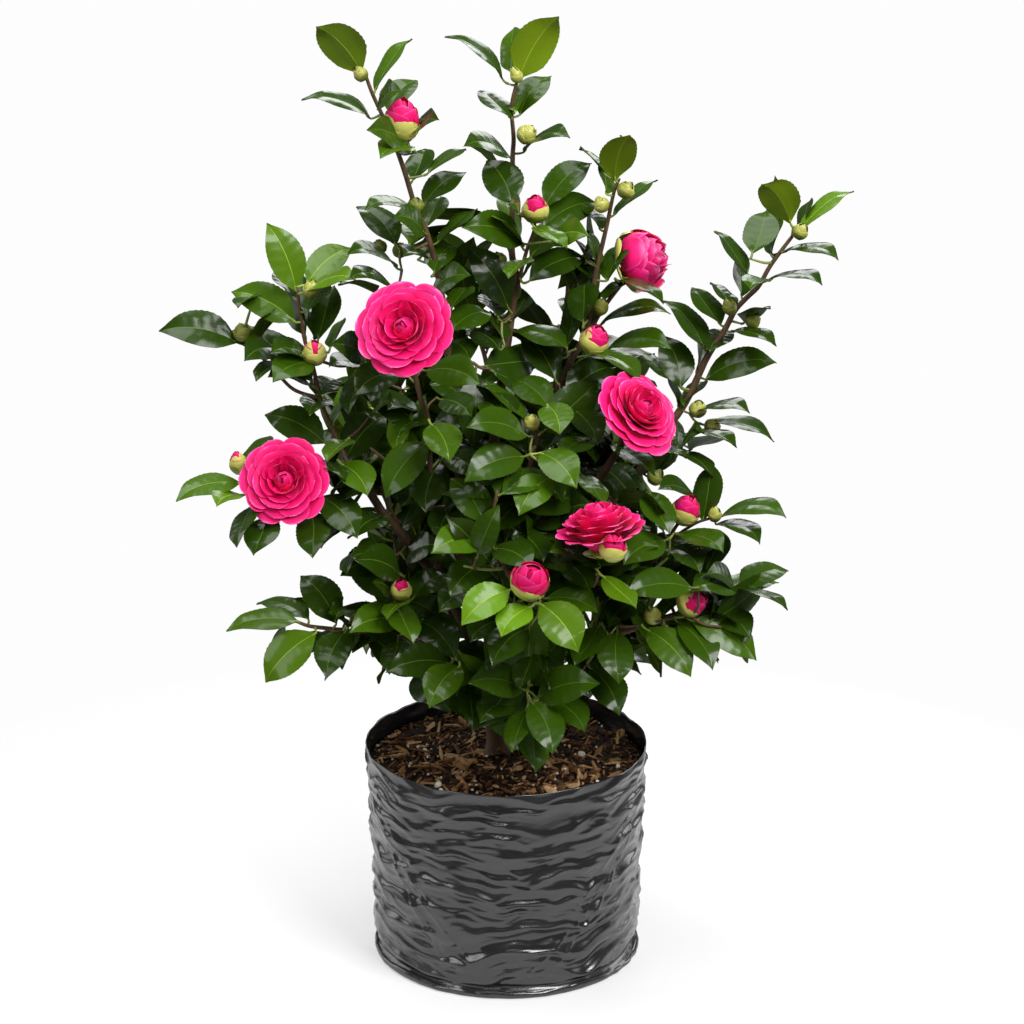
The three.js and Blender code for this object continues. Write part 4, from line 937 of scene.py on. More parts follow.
    (-98, -84, 378, -148, -126, 383, 42, -42, 80, 36, 3, 50), (-105, -88, 398, -87, -130, 373, 37, -36, 86, 36, 3, 50), (-102, -92, 399, -114, -134, 400, -26, 9, 96, 28, 3, 50),
    (-110, -70, 394, -124, -112, 427, 96, -28, 3, 31, 1, 50), (-147, -62, 440, -153, -104, 434, -63, -1, 78, 28, 1, 50), (-98, -50, 428, -63, -92, 457, -82, -39, 42, 31, 0, 50),
    (-83, -55, 445, -49, -97, 444, -48, -41, 77, 31, 0, 50), (-105, -80, 356, -113, -122, 339, -38, -29, 88, 31, 1, 50), (-164, -76, 372, -200, -42, 410, 7, -70, 71, 37, 1, 50),
    (-191, -68, 373, -244, -34, 380, 5, -15, 99, 36, 2, 50), (-199, -82, 376, -269, -92, 373, 1, -29, 96, 36, 3, 50), (-183, -86, 366, -233, -96, 319, -23, -87, 43, 40, 4, 50),
    (-154, -82, 367, -172, -124, 335, -3, -60, 80, 36, 1, 50), (-149, -70, 361, -159, -112, 340, -62, -23, 75, 31, 1, 50), (-130, -62, 356, -148, -104, 355, -10, 2, 99, 28, 0, 50),
    (-156, -60, 368, -168, -102, 393, 92, -2, 39, 31, 1, 50), (-147, -62, 379, -162, -104, 390, 24, 16, 96, 28, 1, 50), (-164, -70, 490, -133, -112, 518, -76, -13, 64, 28, 1, 50),
    (-103, -40, 480, -111, -6, 505, 57, -39, 72, 31, 1, 50), (-105, -50, 448, -90, -16, 478, -62, -35, 70, 36, 0, 50), (-49, -60, 487, -63, -102, 466, -8, -43, 90, 31, 0, 50),
    (-42, -40, 586, -74, -6, 596, -11, -38, 92, 31, 1, 50), (-63, -50, 589, -34, -92, 586, -37, -31, 88, 31, 1, 50), (-35, -30, 623, -54, 4, 633, -9, -35, 93, 31, 1, 50),
    (-25, -45, 587, -1, -87, 575, -9, -33, 94, 31, 1, 50), (-6, -30, 632, -35, 4, 643, -10, -38, 92, 31, 0, 50), (-16, -60, 522, -49, -26, 542, 9, -44, 89, 36, 0, 50),
    (51, -90, 482, 78, -132, 510, -87, -33, 36, 31, 0, 50), (-25, -90, 411, -63, -132, 406, 21, -30, 93, 36, 1, 50), (-35, -70, 394, -74, -36, 403, -7, -33, 94, 36, 0, 50),
    (138, -70, 450, 174, -112, 449, -12, -12, 99, 36, 0, 50), (129, -60, 411, 89, -102, 405, -1, -12, 99, 36, 0, 50), (168, -4, 567, 195, 30, 587, -53, -7, 84, 28, 2, 50),
    (167, -2, 567, 158, 32, 593, 85, -15, 51, 28, 1, 50), (166, -8, 530, 166, 26, 549, 86, -24, 46, 28, 2, 50), (169, -8, 527, 186, -50, 558, -85, 4, 52, 28, 2, 50),
    (149, -10, 527, 172, -52, 534, -7, 14, 99, 28, 1, 50), (161, -8, 514, 146, 26, 487, -83, 7, 55, 28, 1, 50), (-103, -50, 391, -156, -21, 418, -6, -73, 68, 44, 1, 50),
    (-111, -30, 421, -158, -72, 421, 52, -57, 64, 36, 1, 50), (-106, -20, 392, -133, 14, 419, 28, -46, 84, 36, 1, 50),
]

EYE, FOCUS, TILT = np.array([5.4, -3000.0, 1431.3]), 3223.0, 0.313


def flat(P):
    """Points as they fall on a sheet square to the plant's best side."""
    q = np.asarray(P, float).reshape(-1, 3) - EYE
    deep = q[:, 1] * math.cos(TILT) - q[:, 2] * math.sin(TILT)
    up = q[:, 1] * math.sin(TILT) + q[:, 2] * math.cos(TILT)
    return np.stack([512 + FOCUS * q[:, 0] / deep, 512 - FOCUS * up / deep], 1)


CELL = 4
shade_map = np.zeros((256, 256), bool)      # where the crown is closed, seen from its best side
set_mid = []                                # middles of the leaves above, as they fall on the sheet, and their depth


def mark(points, reach=1):
    for u, v in flat(points):
        i, j = int(v // CELL), int(u // CELL)
        shade_map[max(0, i - reach):i + reach + 1, max(0, j - reach):j + reach + 1] = True


# the thick of the crown, closed all over
CORE = [[(405, 560), (500, 540), (640, 545), (700, 590), (660, 640), (600, 690), (540, 715), (450, 700), (410, 650)],
        [(440, 345), (500, 335), (560, 350), (600, 400), (640, 470), (660, 540), (500, 580), (420, 560), (400, 470)]]


def inside(poly, x, y):
    hit = False
    for i in range(len(poly)):
        (x0, y0), (x1, y1) = poly[i - 1], poly[i]
        if (y0 > y) != (y1 > y) and x < (x1 - x0) * (y - y0) / (y1 - y0) + x0:
            hit = not hit
    return hit


for i in range(256):
    for j in range(256):
        if any(inside(poly, (j + 0.5) * CELL, (i + 0.5) * CELL) for poly in CORE):
            shade_map[i, j] = True

wood_points = np.vstack([l[::1] for l in lines.values()])


def to_wood(p, low=0.25):
    """The nearest place on the wood to p, one below it for choice."""
    cost = np.linalg.norm(wood_points - p, axis=1) + low * np.maximum(0, wood_points[:, 2] - p[2] + 4)
    return wood_points[int(np.argmin(cost))]


def sprig(start, end, r0=1.5, r1=1.1, green=0.4, bow=0.10, seed=0):
    """A twig from the wood to a place in the crown."""
    global wood_points
    d = end - start
    reach = np.linalg.norm(d)
    sway = np.random.default_rng(seed).normal(0, 0.06, 3) * reach
    line = path([start, start + d * 0.45 - UP * reach * bow + sway, end], 3.5)
    tube(twigs, line, (r0 + 0.006 * reach, r1), 6, 1 if np.random.default_rng(seed + 1).uniform() < green else 0, 0.05, seed=seed * 0.37)
    wood_points = np.vstack([wood_points, line[2:]])
    return line


for i, (bx, by, bz, tx, ty, tz, nx, ny, nz, wide, tone, bend) in enumerate(LEAVES_SET):
    base, tip, n = np.array([bx, by, bz], float), np.array([tx, ty, tz], float), np.array([nx, ny, nz], float) / 100
    r = np.random.default_rng(3000 + i)
    q = to_wood(base)
    gap = np.linalg.norm(q - base)
    stalk = q
    if gap > 13:
        back = base - unit(tip - base) * 6.5
        line = sprig(q, back, 1.4, 1.0, 0.6, 0.06, 6000 + i)
        stalk = line[-1]
    c = unit(tip - base)
    side = unit(cross(square_to(n, c), c))
    level = math.hypot(c[0], c[1])
    bowed_up = (0.025 + 0.055 * level) * (1 if side[2] > 0 else -1)
    leaf_at(base, tip, n, wide, tone, bend=bend / 100 * float(r.uniform(0.8, 1.2)), fold=float(r.uniform(0.14, 0.30)), twist=0.15 * r.standard_normal(), fine=True, stalk=stalk, sickle=bowed_up)
    length = np.linalg.norm(tip - base)
    grid_pts = [base + c * length * f + side * (g * wide * 0.5 * float(outline(f)) + bowed_up * length * 4 * f * (1 - f)) for f in np.linspace(0, 1, 30) for g in np.linspace(-1, 1, 11)]
    mid = flat((base + tip) / 2)[0]
    mark(grid_pts, 1 if (abs(mid[0] - 515) < 135 and mid[1] > 345) else 0)
    mid = flat((base + tip) / 2)[0]
    set_mid.append((mid[0], mid[1], (by + ty) / 2))
set_mid = np.array(set_mid)


# ------------------------------------------------------------------ the rule by which the other leaves grow
def free(base, tip, width, n, names, margin, near=15.0):
    """True if a leaf keeps inside the crown's outline, off the blooms and off its neighbours."""
    mid = (base + tip) / 2
    if tip[2] < 226 and math.hypot(tip[0], tip[1]) > 112 or tip[2] < 216:
        return False
    if depth_in(tip, names) < -margin or depth_in(mid, names) < -margin * 0.6:
        return False
    c = unit(tip - base)
    side = unit(cross(n, c)) * width * 0.45
    misses = 0
    allowed = 3 if mid[1] > 25 and mid[2] < 720 else 1
    spine = [base + (tip - base) * f for f in (0.12, 0.3, 0.5, 0.68, 0.84, 1.0)]
    for u, v in flat(spine + [spine[1] + side, spine[1] - side, mid + side, mid - side, spine[3] + side, spine[3] - side]):
        if not (0 <= u < 1024 and 0 <= v < 1024) or not shade_map[int(v // CELL), int(u // CELL)]:
            misses += 1
            if misses > allowed:
                return False
    for k, r in blooms:
        for f in (0.25, 0.6, 1.0):
            if np.linalg.norm(base + (tip - base) * f - k) < r + 5:
                return False
        d = mid - k
        if d[1] < 10 and abs(d[0]) < r * 0.9 and abs(d[2] + 0.32 * d[1]) < r * 0.9:
            return False
    # nothing new in front of a leaf that was set
    u, v = flat(mid)[0]
    d = np.hypot(set_mid[:, 0] - u, set_mid[:, 1] - v)
    if ((d < 27) & (set_mid[:, 2] > mid[1] - 7)).any():
        return False
    if taken:
        gap = np.linalg.norm(np.array(taken) - mid, axis=1).min()
        if gap < near:
            return False
    return True


def tone_for(young, r):
    return int(np.clip(round(1.1 + 2.0 * young + 0.8 * r.standard_normal()), 0, 5))


def grow_leaves(line, begin, end, spacing, length, names, spread=(1.15, 0.85), lift=0.0, young=0.2, seed=0, rosette=3, margin=9.0, near=15.0, radius=2.0, outward=0.5, tries=4, fine_to=-10):
    """Leaves one after another round a shoot by the golden angle, closing up at its tip."""
    r = np.random.default_rng(7000 + seed)
    seg = np.linalg.norm(np.diff(line, axis=0), axis=1)
    s = np.concatenate([[0], np.cumsum(seg)])
    total = s[-1]
    spots = list(np.arange(begin * total + r.uniform(0, spacing), end * total - 8, spacing))
    spots += [total - 1.5 - 3.0 * k for k in range(rosette)][::-1]
    phase = r.uniform(0, 6.28)
    made = 0
    for i, at in enumerate(spots):
        at = float(np.clip(at, 0, total))
        p = np.array([np.interp(at, s, line[:, k]) for k in range(3)])
        q = np.array([np.interp(min(at + 4, total), s, line[:, k]) for k in range(3)])
        o = np.array([np.interp(max(at - 4, 0), s, line[:, k]) for k in range(3)])
        t = unit(q - o)
        f = at / total
        a = square_to(np.array([0.2, 0.9, 0.1]), t)
        b = cross(t, a)
        tipish = at > total - 14
        away = unit(np.array([p[0] + 8, p[1] + 1e-3, 0.0]))
        for attempt in range(tries):
            g = phase + i * GOLDEN + attempt * 0.8 + 0.25 * r.standard_normal()
            radial = a * math.cos(g) + b * math.sin(g)
            open_by = spread[0] + (spread[1] - spread[0]) * f + 0.18 * r.standard_normal()
            d = unit(t * math.cos(open_by) + radial * math.sin(open_by) + away * outward * 0.35 + UP * lift)
            size = length * (1.0 + 0.10 * r.standard_normal())
            if tipish and r.uniform() < 0.3:
                size *= 0.80
            base = p + radial * radius + d * 6.0
            bend = float(np.clip(0.55 + 0.30 * r.standard_normal(), -0.05, 1.2))
            tip = base + d * size
            n = unit(UP * 0.9 + away * 0.8 + t * 0.3 + 0.28 * r.standard_normal(3))
            width = size * float(np.clip(0.50 + 0.04 * r.standard_normal(), 0.42, 0.58))
            if free(base, tip, width, n, names, margin, near):
                tone = tone_for(young * (0.35 + 0.65 * f) + (0.35 if tipish else 0) * young, r)
                leaf_at(base, tip, n, width, tone, bend=bend, fold=float(np.clip(0.24 + 0.11 * r.standard_normal(), 0.05, 0.5)), twist=0.22 * r.standard_normal(),
                        fine=bool(p[1] < fine_to), stalk=p + radial * radius * 0.6)
                made += 1
                break
    return made


# leaves of the named shoots: where they start and end, spacing, length, how fresh, leaves at the tip
LEAFY = {
    "top_left": (0.05, 1.0, 15, 68, 0.35, 4), "top_centre": (0.10, 1.0, 15, 68, 0.4, 4), "right_centre": (0.0, 1.0, 15, 66, 0.4, 3),
    "right_tall": (0.0, 1.0, 15, 68, 0.4, 4), "left_shoot": (0.1, 1.0, 15, 70, 0.35, 4), "far_left": (0.3, 1.0, 18, 72, 0.1, 2),
    "low_left": (0.0, 1.0, 15, 72, 0.5, 4), "low_right": (0.0, 1.0, 15, 72, 0.4, 4), "bloom_left": (0.0, 1.0, 14, 72, 0.2, 0),
    "left_arm": (0.0, 1.0, 15, 72, 0.15, 0), "bloom_right": (0.0, 1.0, 12, 68, 0.2, 0), "front": (0.3, 1.0, 12, 70, 0.6, 3),
    "front_low": (0.2, 1.0, 12, 72, 0.4, 3), "bloom_upper": (0.25, 1.0, 15, 70, 0.25, 0), "bud_crown": (0.1, 1.0, 11, 64, 0.4, 2),
    "bloom_half": (0.0, 1.0, 14, 62, 0.3, 0), "bloom_front": (0.35, 1.0, 14, 70, 0.3, 0), "right_mid": (0.2, 1.0, 14, 68, 0.3, 3),
    "right_mid_tip": (0.3, 1.0, 12, 66, 0.4, 2), "mid_centre": (0.2, 1.0, 13, 68, 0.3, 3), "front_crown": (0.2, 1.0, 11, 68, 0.4, 2),
    "mid_left": (0.1, 1.0, 12, 70, 0.3, 3), "upper_back": (0.2, 1.0, 13, 70, 0.4, 4), "upper_back_right": (0.2, 1.0, 13, 70, 0.4, 4),
}
TALL = ("top_left", "top_centre", "right_centre", "right_tall", "left_shoot", "bud_crown")
for i, (name, (b0, b1, gap, size, young, tips)) in enumerate(LEAFY.items()):
    tall = name in TALL
    grow_leaves(lines[name], b0, b1, gap, size, None, spread=(1.1, 0.7) if tall else (1.15, 0.9), lift=0.10 if tall else -0.10,
                young=young, seed=i, rosette=tips, margin=12, near=13)

# the rest of each mass: places spread evenly through it, each reached by a twig from the
# nearest wood, innermost first, with leaves round the twig and a rosette at its tip
spots = []
for i, (name, (a, b, feed)) in enumerate(MASSES.items()):
    r = np.random.default_rng(500 + i)
    tree, (lo, hi) = trees[name]
    lo, hi = np.array(lo) / MM, np.array(hi) / MM
    outer = name in ("foliage_top_left", "foliage_top_centre", "foliage_right_centre", "foliage_right_top", "foliage_left_shoot", "foliage_far_left", "foliage_low_left", "foliage_low_right")
    back = "back" in name
    gap = 34 if back else 36
    for k in range(900):
        p = lo + (hi - lo) * r.uniform(0, 1, 3)
        deep = depth_in(p, [name])
        if deep < (14 if outer else 20) or deep > 50 or depth_in(p) > 64:
            continue
        if any(np.linalg.norm(p - s) < gap for s, _ in spots):
            continue
        if any(np.linalg.norm(p - c) < rr + 14 for c, rr in blooms):
            continue
        spots.append((p, name))
spots.sort(key=lambda s: np.linalg.norm(s[0] - np.array([-10, 0, 380.0])))
for k, (p, name) in enumerate(spots):
    q = to_wood(p, 0.45)
    if np.linalg.norm(q - p) > 120:
        continue
    away = unit(np.array([p[0] + 8, p[1] + 1e-3, 0.0]))
    if np.linalg.norm(q - p) < 10:
        p = p + away * 10 + UP * 6
    tall = name in ("foliage_top_left", "foliage_top_centre", "foliage_right_centre", "foliage_right_top", "foliage_left_shoot", "foliage_upper_centre", "foliage_back_upper_left", "foliage_back_upper_right")
    before = (twigs.n, len(twigs.v), len(twigs.q), len(twigs.t), len(twigs.qm), len(twigs.tm), len(twigs.a), wood_points)
    line = sprig(q, p, 1.6, 1.2, 0.3, 0.08, 9000 + k)
    reach = np.linalg.norm(p - q)
    open_sky = np.mean([not shade_map[min(255, max(0, int(v // CELL))), min(255, max(0, int(u // CELL)))] for u, v in flat(line)])
    got = 0 if open_sky > (0.40 if p[1] > 30 else 0.15) else grow_leaves(line, max(0.2, 1 - 45 / max(reach, 1)), 1.0, 11, 72, None, spread=(1.1, 0.8) if tall else (1.2, 1.0), lift=0.08 if tall else -0.16,
                      young=0.25, seed=1000 + k, rosette=5, margin=13, near=14.5, radius=1.5, tries=7 if p[1] > 20 else 4)
    if got == 0:
        # a twig with nothing on it is not kept
        twigs.n = before[0]
        for lst, m in ((twigs.v, 1), (twigs.q, 2), (twigs.t, 3), (twigs.qm, 4), (twigs.tm, 5), (twigs.a, 6)):
            del lst[before[m]:]
        wood_points = before[7]

print("LEAVES", count["leaves"], "spots", len(spots), [h.faces() for h in leaf_heaps], "stalks", stalks.faces(), "twigs", twigs.faces(), "blooms", bloom_heap.faces(), "buds", bud_heap.faces())

# ------------------------------------------------------------------ the film bag
BASE_R, RIM_R, HIGH = 133.0, 141.5, 221.0


def bag_radius(z):
    return BASE_R + (RIM_R - BASE_R) * z / HIGH


def crumple(g, z):
    """How far crumpled film stands out at an angle and height: lapped ridges, mostly level, that
    swing up towards the sides, over slow bulges."""
    s = g * 138.0
    x, y = math.cos(g), math.sin(g)
    warp = 12 * wob(x * 1.9, y * 1.9, z * 0.012) + 4 * wob(x * 6 + 5, y * 6, z * 0.03)
    zz = z + warp
    a = wob(x * 1.5, y * 1.5, zz * 0.046)
    b = wob(x * 2.5 + 7, y * 2.5 - 3, zz * 0.080 + 9)
    c = wob(x * 5.0 - 4, y * 5.0, zz * 0.150 + 3)
    ridge = (1 - abs(a) * 2.2) * 3.2 + (1 - abs(b) * 2.0) * 2.5 + (1 - abs(c) * 1.8) * 0.9
    slow = 1.0 * wob(x * 1.2, y * 1.2, z * 0.01 + 2)
    h = ridge + slow - 4.1
    # hollows are shallower where the mix stands behind them
    held = float(sm(z, 168, 186))
    shallow = h if h > -1.4 else -1.4 - 1.4 * (1 - math.exp((h + 1.4) / 3.0))
    return max(h, -8) * (1 - held) + shallow * held


# long thin folds that run down from the sides towards the front: angle and height of both ends
FOLDS = []
fold_rng = np.random.default_rng(5)
for side in (-1, 1):
    for face in (-90, 90):
        for k in range(5):
            g0 = math.radians(face) + side * math.radians(74 - 7 * k + fold_rng.uniform(-4, 4))
            g1 = g0 - side * math.radians(36 + fold_rng.uniform(-8, 12))
            z0 = 212 - 24 * k + fold_rng.uniform(-14, 10)
            z1 = z0 - 96 - fold_rng.uniform(0, 40)
            FOLDS.append((g0, z0, g1, max(8, z1), fold_rng.uniform(0.75, 1.25)))


def fold_height(g, z):
    h = 0.0
    for g0, z0, g1, z1, tall in FOLDS:
        t = (z0 - z) / (z0 - z1)
        if t < -0.05 or t > 1.05:
            continue
        gl = g0 + (g1 - g0) * t + 0.03 * math.sin(5 * t + g0)
        d = (g - gl + math.pi) % (2 * math.pi) - math.pi
        d *= 138
        if abs(d) < 9:
            fade = max(0.0, min(1.0, t * 6)) * max(0.0, min(1.0, (1 - t) * 5))
            h += tall * fade * math.exp(-abs(d) / 2.4)
    return h


def make_bag():
    heap = Heap()
    cols = 560
    zs = np.concatenate([[0.0, 0.6, 1.6, 3.0], np.linspace(4.6, 216, 138), [218, 219.6, 220.6]])
    g = np.linspace(0, 2 * math.pi, cols, endpoint=False)
    rim_wave = np.array([2.2 * wob(math.cos(x) * 2.3 + 3, math.sin(x) * 2.3, 0.5) + 1.6 * wob(math.cos(x) * 7, math.sin(x) * 7, 2.5) for x in g])
    rim_wave = np.clip(rim_wave - 0.8, -4, 1.4)
    rows = len(zs)
    V = np.empty((rows, cols, 3))
    for i, z in enumerate(zs):
        for j in range(cols):
            zz = z + rim_wave[j] * (z / HIGH) ** 6
            h = crumple(g[j], z) + fold_height(g[j], z)
            h *= min(1.0, z / 9.0) * (1 - 0.45 * max(0.0, (z - 205) / 16))
            foot = -2.0 * max(0.0, 1 - z / 1.8) ** 2 + 1.9 * math.exp(-((z - 4.2) / 2.8) ** 2)
            pinch = -2.4 * math.exp(-((z - 10.5) / 2.8) ** 2)
            r = bag_radius(z) + h * 0.92 + foot + pinch - 0.6
            V[i, j] = (r * math.cos(g[j]), r * math.sin(g[j]), zz)
    outer = V
    # the film's inner side, down to the mix
    zi = np.array([220.6, 219.2, 216.5, 213, 209, 205, 201, 197])
    W = np.empty((len(zi), cols, 3))
    for i, z in enumerate(zi):
        for j in range(cols):
            zz = z + rim_wave[j] * (z / HIGH) ** 6 + (0.25 if i == 0 else 0)
            h = crumple(g[j], z)
            h *= (0.92 if h < 0 else 0.5) * (1 - 0.45 * max(0.0, (z - 205) / 16))
            r = bag_radius(z) + h - (1.0 if i else 0.75) - 0.6
            W[i, j] = (r * math.cos(g[j]), r * math.sin(g[j]), zz)
    A = np.concatenate([outer, W])
    i = (np.arange(len(A) - 1)[:, None] * cols + np.arange(cols)[None, :])
    j = (np.arange(len(A) - 1)[:, None] * cols + (np.arange(cols)[None, :] + 1) % cols)
    q = np.stack([i, j, j + cols, i + cols], -1).reshape(-1, 4)
    verts = np.vstack([A.reshape(-1, 3), [0, 0, 0.0]])
    k = np.arange(cols)
    tris = np.stack([np.full(cols, len(verts) - 1), (k + 1) % cols, k], 1)
    heap.add(verts, quads=q, tris=tris)
    # the gusset's folded lip round the foot
    cols2, prof = 300, 9
    gg = np.linspace(0, 2 * math.pi, cols2, endpoint=False)
    L = np.empty((prof, cols2, 3))
    for j, x in enumerate(gg):
        tall = 6.4 + 3.6 * wob(math.cos(x) * 1.7 + 9, math.sin(x) * 1.7, 1) + 1.2 * wob(math.cos(x) * 6, math.sin(x) * 6, 4)
        tall += 2.2 * abs(math.cos(x + math.pi / 2)) ** 0.5 * abs(math.sin(x + math.pi / 2))
        proud = 2.5 + 1.3 * wob(math.cos(x) * 9, math.sin(x) * 9, 7)
        for k2 in range(prof):
            t = k2 / (prof - 1)
            ang = math.pi * t
            r = bag_radius(2) - 1.6 + (proud + 0.8) * math.sin(ang) + 0.3 * wob(math.cos(x) * 22, math.sin(x) * 22, t * 3)
            L[k2, j] = (r * math.cos(x), r * math.sin(x), max(0.05, tall * (1 - math.cos(ang)) / 2))
    i = (np.arange(prof - 1)[:, None] * cols2 + np.arange(cols2)[None, :])
    j = (np.arange(prof - 1)[:, None] * cols2 + (np.arange(cols2)[None, :] + 1) % cols2)
    heap.add(L.reshape(-1, 3), quads=np.stack([i, j, j + cols2, i + cols2], -1).reshape(-1, 4), qm=0)
    return heap


# ------------------------------------------------------------------ the potting mix
def mix_height(x, y):
    r = math.hypot(x, y)
    base = 208 - 6.5 * (min(r, 138) / 138) ** 1.4
    lump = 2.6 * wob(x * 0.03, y * 0.03, 1) + 1.8 * wob(x * 0.09, y * 0.09, 5) + 1.1 * wob(x * 0.22, y * 0.22, 9)
    calm = 1 - 0.75 * max(0.0, 1 - math.hypot(x + 10, y) / 20)
    return base + lump * calm - 1.2


def make_mix():
    heap = Heap()
    rings, cols = 58, 200
    V = [[0, 0, mix_height(0, 0)]]
    for i in range(1, rings + 1):
        for j in range(cols):
            r = 136.9 * i / rings
            g = 2 * math.pi * (j + 0.5 * (i % 2)) / cols
            x, y = r * math.cos(g), r * math.sin(g)
            fine = 0.9 * wob(x * 0.6, y * 0.6, 3)
            V.append([x, y, mix_height(x, y) + fine])
    # a skirt down inside the film
    for j in range(cols):
        g = 2 * math.pi * (j + 0.5 * (rings % 2)) / cols
        V.append([136.9 * math.cos(g), 136.9 * math.sin(g), 190])
    k = np.arange(cols)
    tris = np.stack([np.zeros(cols, int), 1 + k, 1 + (k + 1) % cols], 1)
    i = np.arange(rings)[:, None] * cols + 1 + k[None, :]
    j = np.arange(rings)[:, None] * cols + 1 + (k[None, :] + 1) % cols
    q = np.stack([i, i + cols, j + cols, j], -1).reshape(-1, 4)
    heap.add(np.array(V, float), quads=q, tris=tris)
    return heap


def shred(heap, p, d, up, length, wide, thick, mat, r):
    """A splinter of bark: a bent, tapering strip with ragged ends."""
    n = 5
    t = np.linspace(-0.5, 0.5, n)
    d = unit(d)
    up = square_to(up, d)
    s = cross(up, d)
    bend = r.uniform(-0.18, 0.18)
    w = wide / 2 * (1 - 0.5 * np.abs(t * 2) ** 2) * (1 + 0.25 * r.standard_normal(n))
    h = thick / 2 * (1 - 0.3 * np.abs(t * 2)) * (1 + 0.2 * r.standard_normal(n))
    c = p + (t * length)[:, None] * d + (bend * length * (0.25 - t * t))[:, None] * s + (0.1 * length * (0.25 - t * t))[:, None] * up
    ring = [c + w[:, None] * s * a + h[:, None] * up * b for a, b in ((1, 0.1), (0.45, 1), (-0.55, 0.85), (-1, -0.1), (-0.3, -1), (0.6, -0.8))]
    V = np.stack(ring, 1)
    m = 6
    i = (np.arange(n - 1)[:, None] * m + np.arange(m)[None, :])
    j = (np.arange(n - 1)[:, None] * m + (np.arange(m)[None, :] + 1) % m)
    q = np.stack([i, j, j + m, i + m], -1).reshape(-1, 4)
    ends = [[0, k + 1, k] for k in range(1, m - 1)] + [[(n - 1) * m, (n - 1) * m + k, (n - 1) * m + k + 1] for k in range(1, m - 1)]
    heap.add(V.reshape(-1, 3), quads=q, tris=ends, qm=mat, tm=mat)


ICO_V = None


def crumb(heap, p, size, mat, r, lump=0.25):
    """A small rounded grain."""
    global ICO_V, ICO_F
    if ICO_V is None:
        import bmesh
        bm = bmesh.new()
        bmesh.ops.create_icosphere(bm, subdivisions=2, radius=1)
        ICO_V = np.array([v.co[:] for v in bm.verts])
        ICO_F = np.array([[v.index for v in f.verts] for f in bm.faces])
        bm.free()
    k = r.uniform(0, 50)
    f = np.array([1 + lump * (wob(v[0] * 1.4 + k, v[1] * 1.4, v[2] * 1.4) + 0.5 * wob(v[0] * 3 + k, v[1] * 3, v[2] * 3)) for v in ICO_V])
    sc = np.array([1, r.uniform(0.65, 1.0), r.uniform(0.6, 0.95)]) * size
    a = r.uniform(0, 6.28)
    V = ICO_V * f[:, None] * sc
    V = np.stack([V[:, 0] * math.cos(a) - V[:, 1] * math.sin(a), V[:, 0] * math.sin(a) + V[:, 1] * math.cos(a), V[:, 2]], 1)
    heap.add(V + p, tris=ICO_F, tm=mat)


def make_debris():
    chips, grains = Heap(), Heap()
    r = np.random.default_rng(77)
    for i in range(1700):
        rad = 134 * math.sqrt(r.uniform(0.0, 1.0))
        g = r.uniform(0, 6.28)
        x, y = rad * math.cos(g), rad * math.sin(g)
        if math.hypot(x + 10, y) < 13:
            continue
        big = r.uniform() < 0.11
        length = r.uniform(12, 32) if big else r.uniform(5, 14)
        if rad + length / 2 > 135:
            length = max(4, 2 * (135 - rad))
        wide = r.uniform(3.4, 8.5) if big else r.uniform(1.4, 3.6)
        thick = r.uniform(1.6, 3.6) if big else r.uniform(1.0, 2.4)
        tilt = r.normal(0, 0.30)
        az = r.uniform(0, 6.28)
        d = np.array([math.cos(az) * math.cos(tilt), math.sin(az) * math.cos(tilt), math.sin(tilt)])
        z = mix_height(x, y) + (r.uniform(0.4, 2.8) if big else r.uniform(-0.6, 1.8))
        tone = int(r.choice([0, 1, 2, 3], p=[0.20, 0.26, 0.32, 0.22] if big else [0.40, 0.28, 0.21, 0.11]))
        shred(chips, np.array([x, y, z]), d, UP + r.normal(0, 0.5, 3), length, wide, thick, tone, r)
    for i in range(420):
        rad = 135 * math.sqrt(r.uniform(0.0, 1.0))
        g = r.uniform(0, 6.28)
        x, y = rad * math.cos(g), rad * math.sin(g)
        if math.hypot(x + 10, y) < 12:
            continue
        crumb(chips, np.array([x, y, mix_height(x, y) + 0.6]), r.uniform(1.0, 2.8), int(r.choice([0, 1])), r, 0.5)
    for i in range(85):
        rad = 133 * math.sqrt(r.uniform(0.02, 1.0))
        g = r.uniform(0, 6.28)
        x, y = rad * math.cos(g), rad * math.sin(g)
        if math.hypot(x + 10, y) < 14:
            continue
        size = r.uniform(0.9, 1.8) if r.uniform() < 0.8 else r.uniform(2.0, 3.8)
        crumb(grains, np.array([x, y, mix_height(x, y) + 2.2 + size * 0.3]), size, 0, r, 0.45)
    return chips, grains


bag_heap = make_bag()
mix_heap = make_mix()
chip_heap, grain_heap = make_debris()

# ------------------------------------------------------------------ make the pieces
BARK = bark_material("bark", (0.016, 0.0085, 0.0035), (0.100, 0.055, 0.022))
TWIG = bark_material("twig_brown", (0.034, 0.016, 0.007), (0.13, 0.068, 0.026), 1.6, 0.65)
TWIG_GREEN = bark_material("twig_green", (0.13, 0.16, 0.035), (0.26, 0.30, 0.06), 1.6, 0.5)
STALK_DARK = leaf_material("stalk_dark", (0.12, 0.17, 0.03), 0.45, 0.1)
STALK_FRESH = leaf_material("stalk_fresh", (0.30, 0.42, 0.07), 0.45, 0.1)
SCALE_GREEN = bud_material("bud_scale_green", (0.14, 0.19, 0.010), (0.60, 0.58, 0.13))
SCALE_OLIVE = bud_material("bud_scale_olive", (0.07, 0.10, 0.006), (0.24, 0.26, 0.03), 0.5)
PETAL = petal_material("petal")
FILM = film_material("bag_film", (0.0068, 0.0068, 0.0078), 0.17, 0.29)
FILM_IN = film_material("bag_film_lip", (0.010, 0.010, 0.011), 0.22, 0.34, 0.15)
# the mix surface is near black: partly the mix's own dark colour, partly painted shade for the gaps between the chips
MIX = mix_material("mix", (0.002, 0.001, 0.0005), (0.028, 0.013, 0.005))
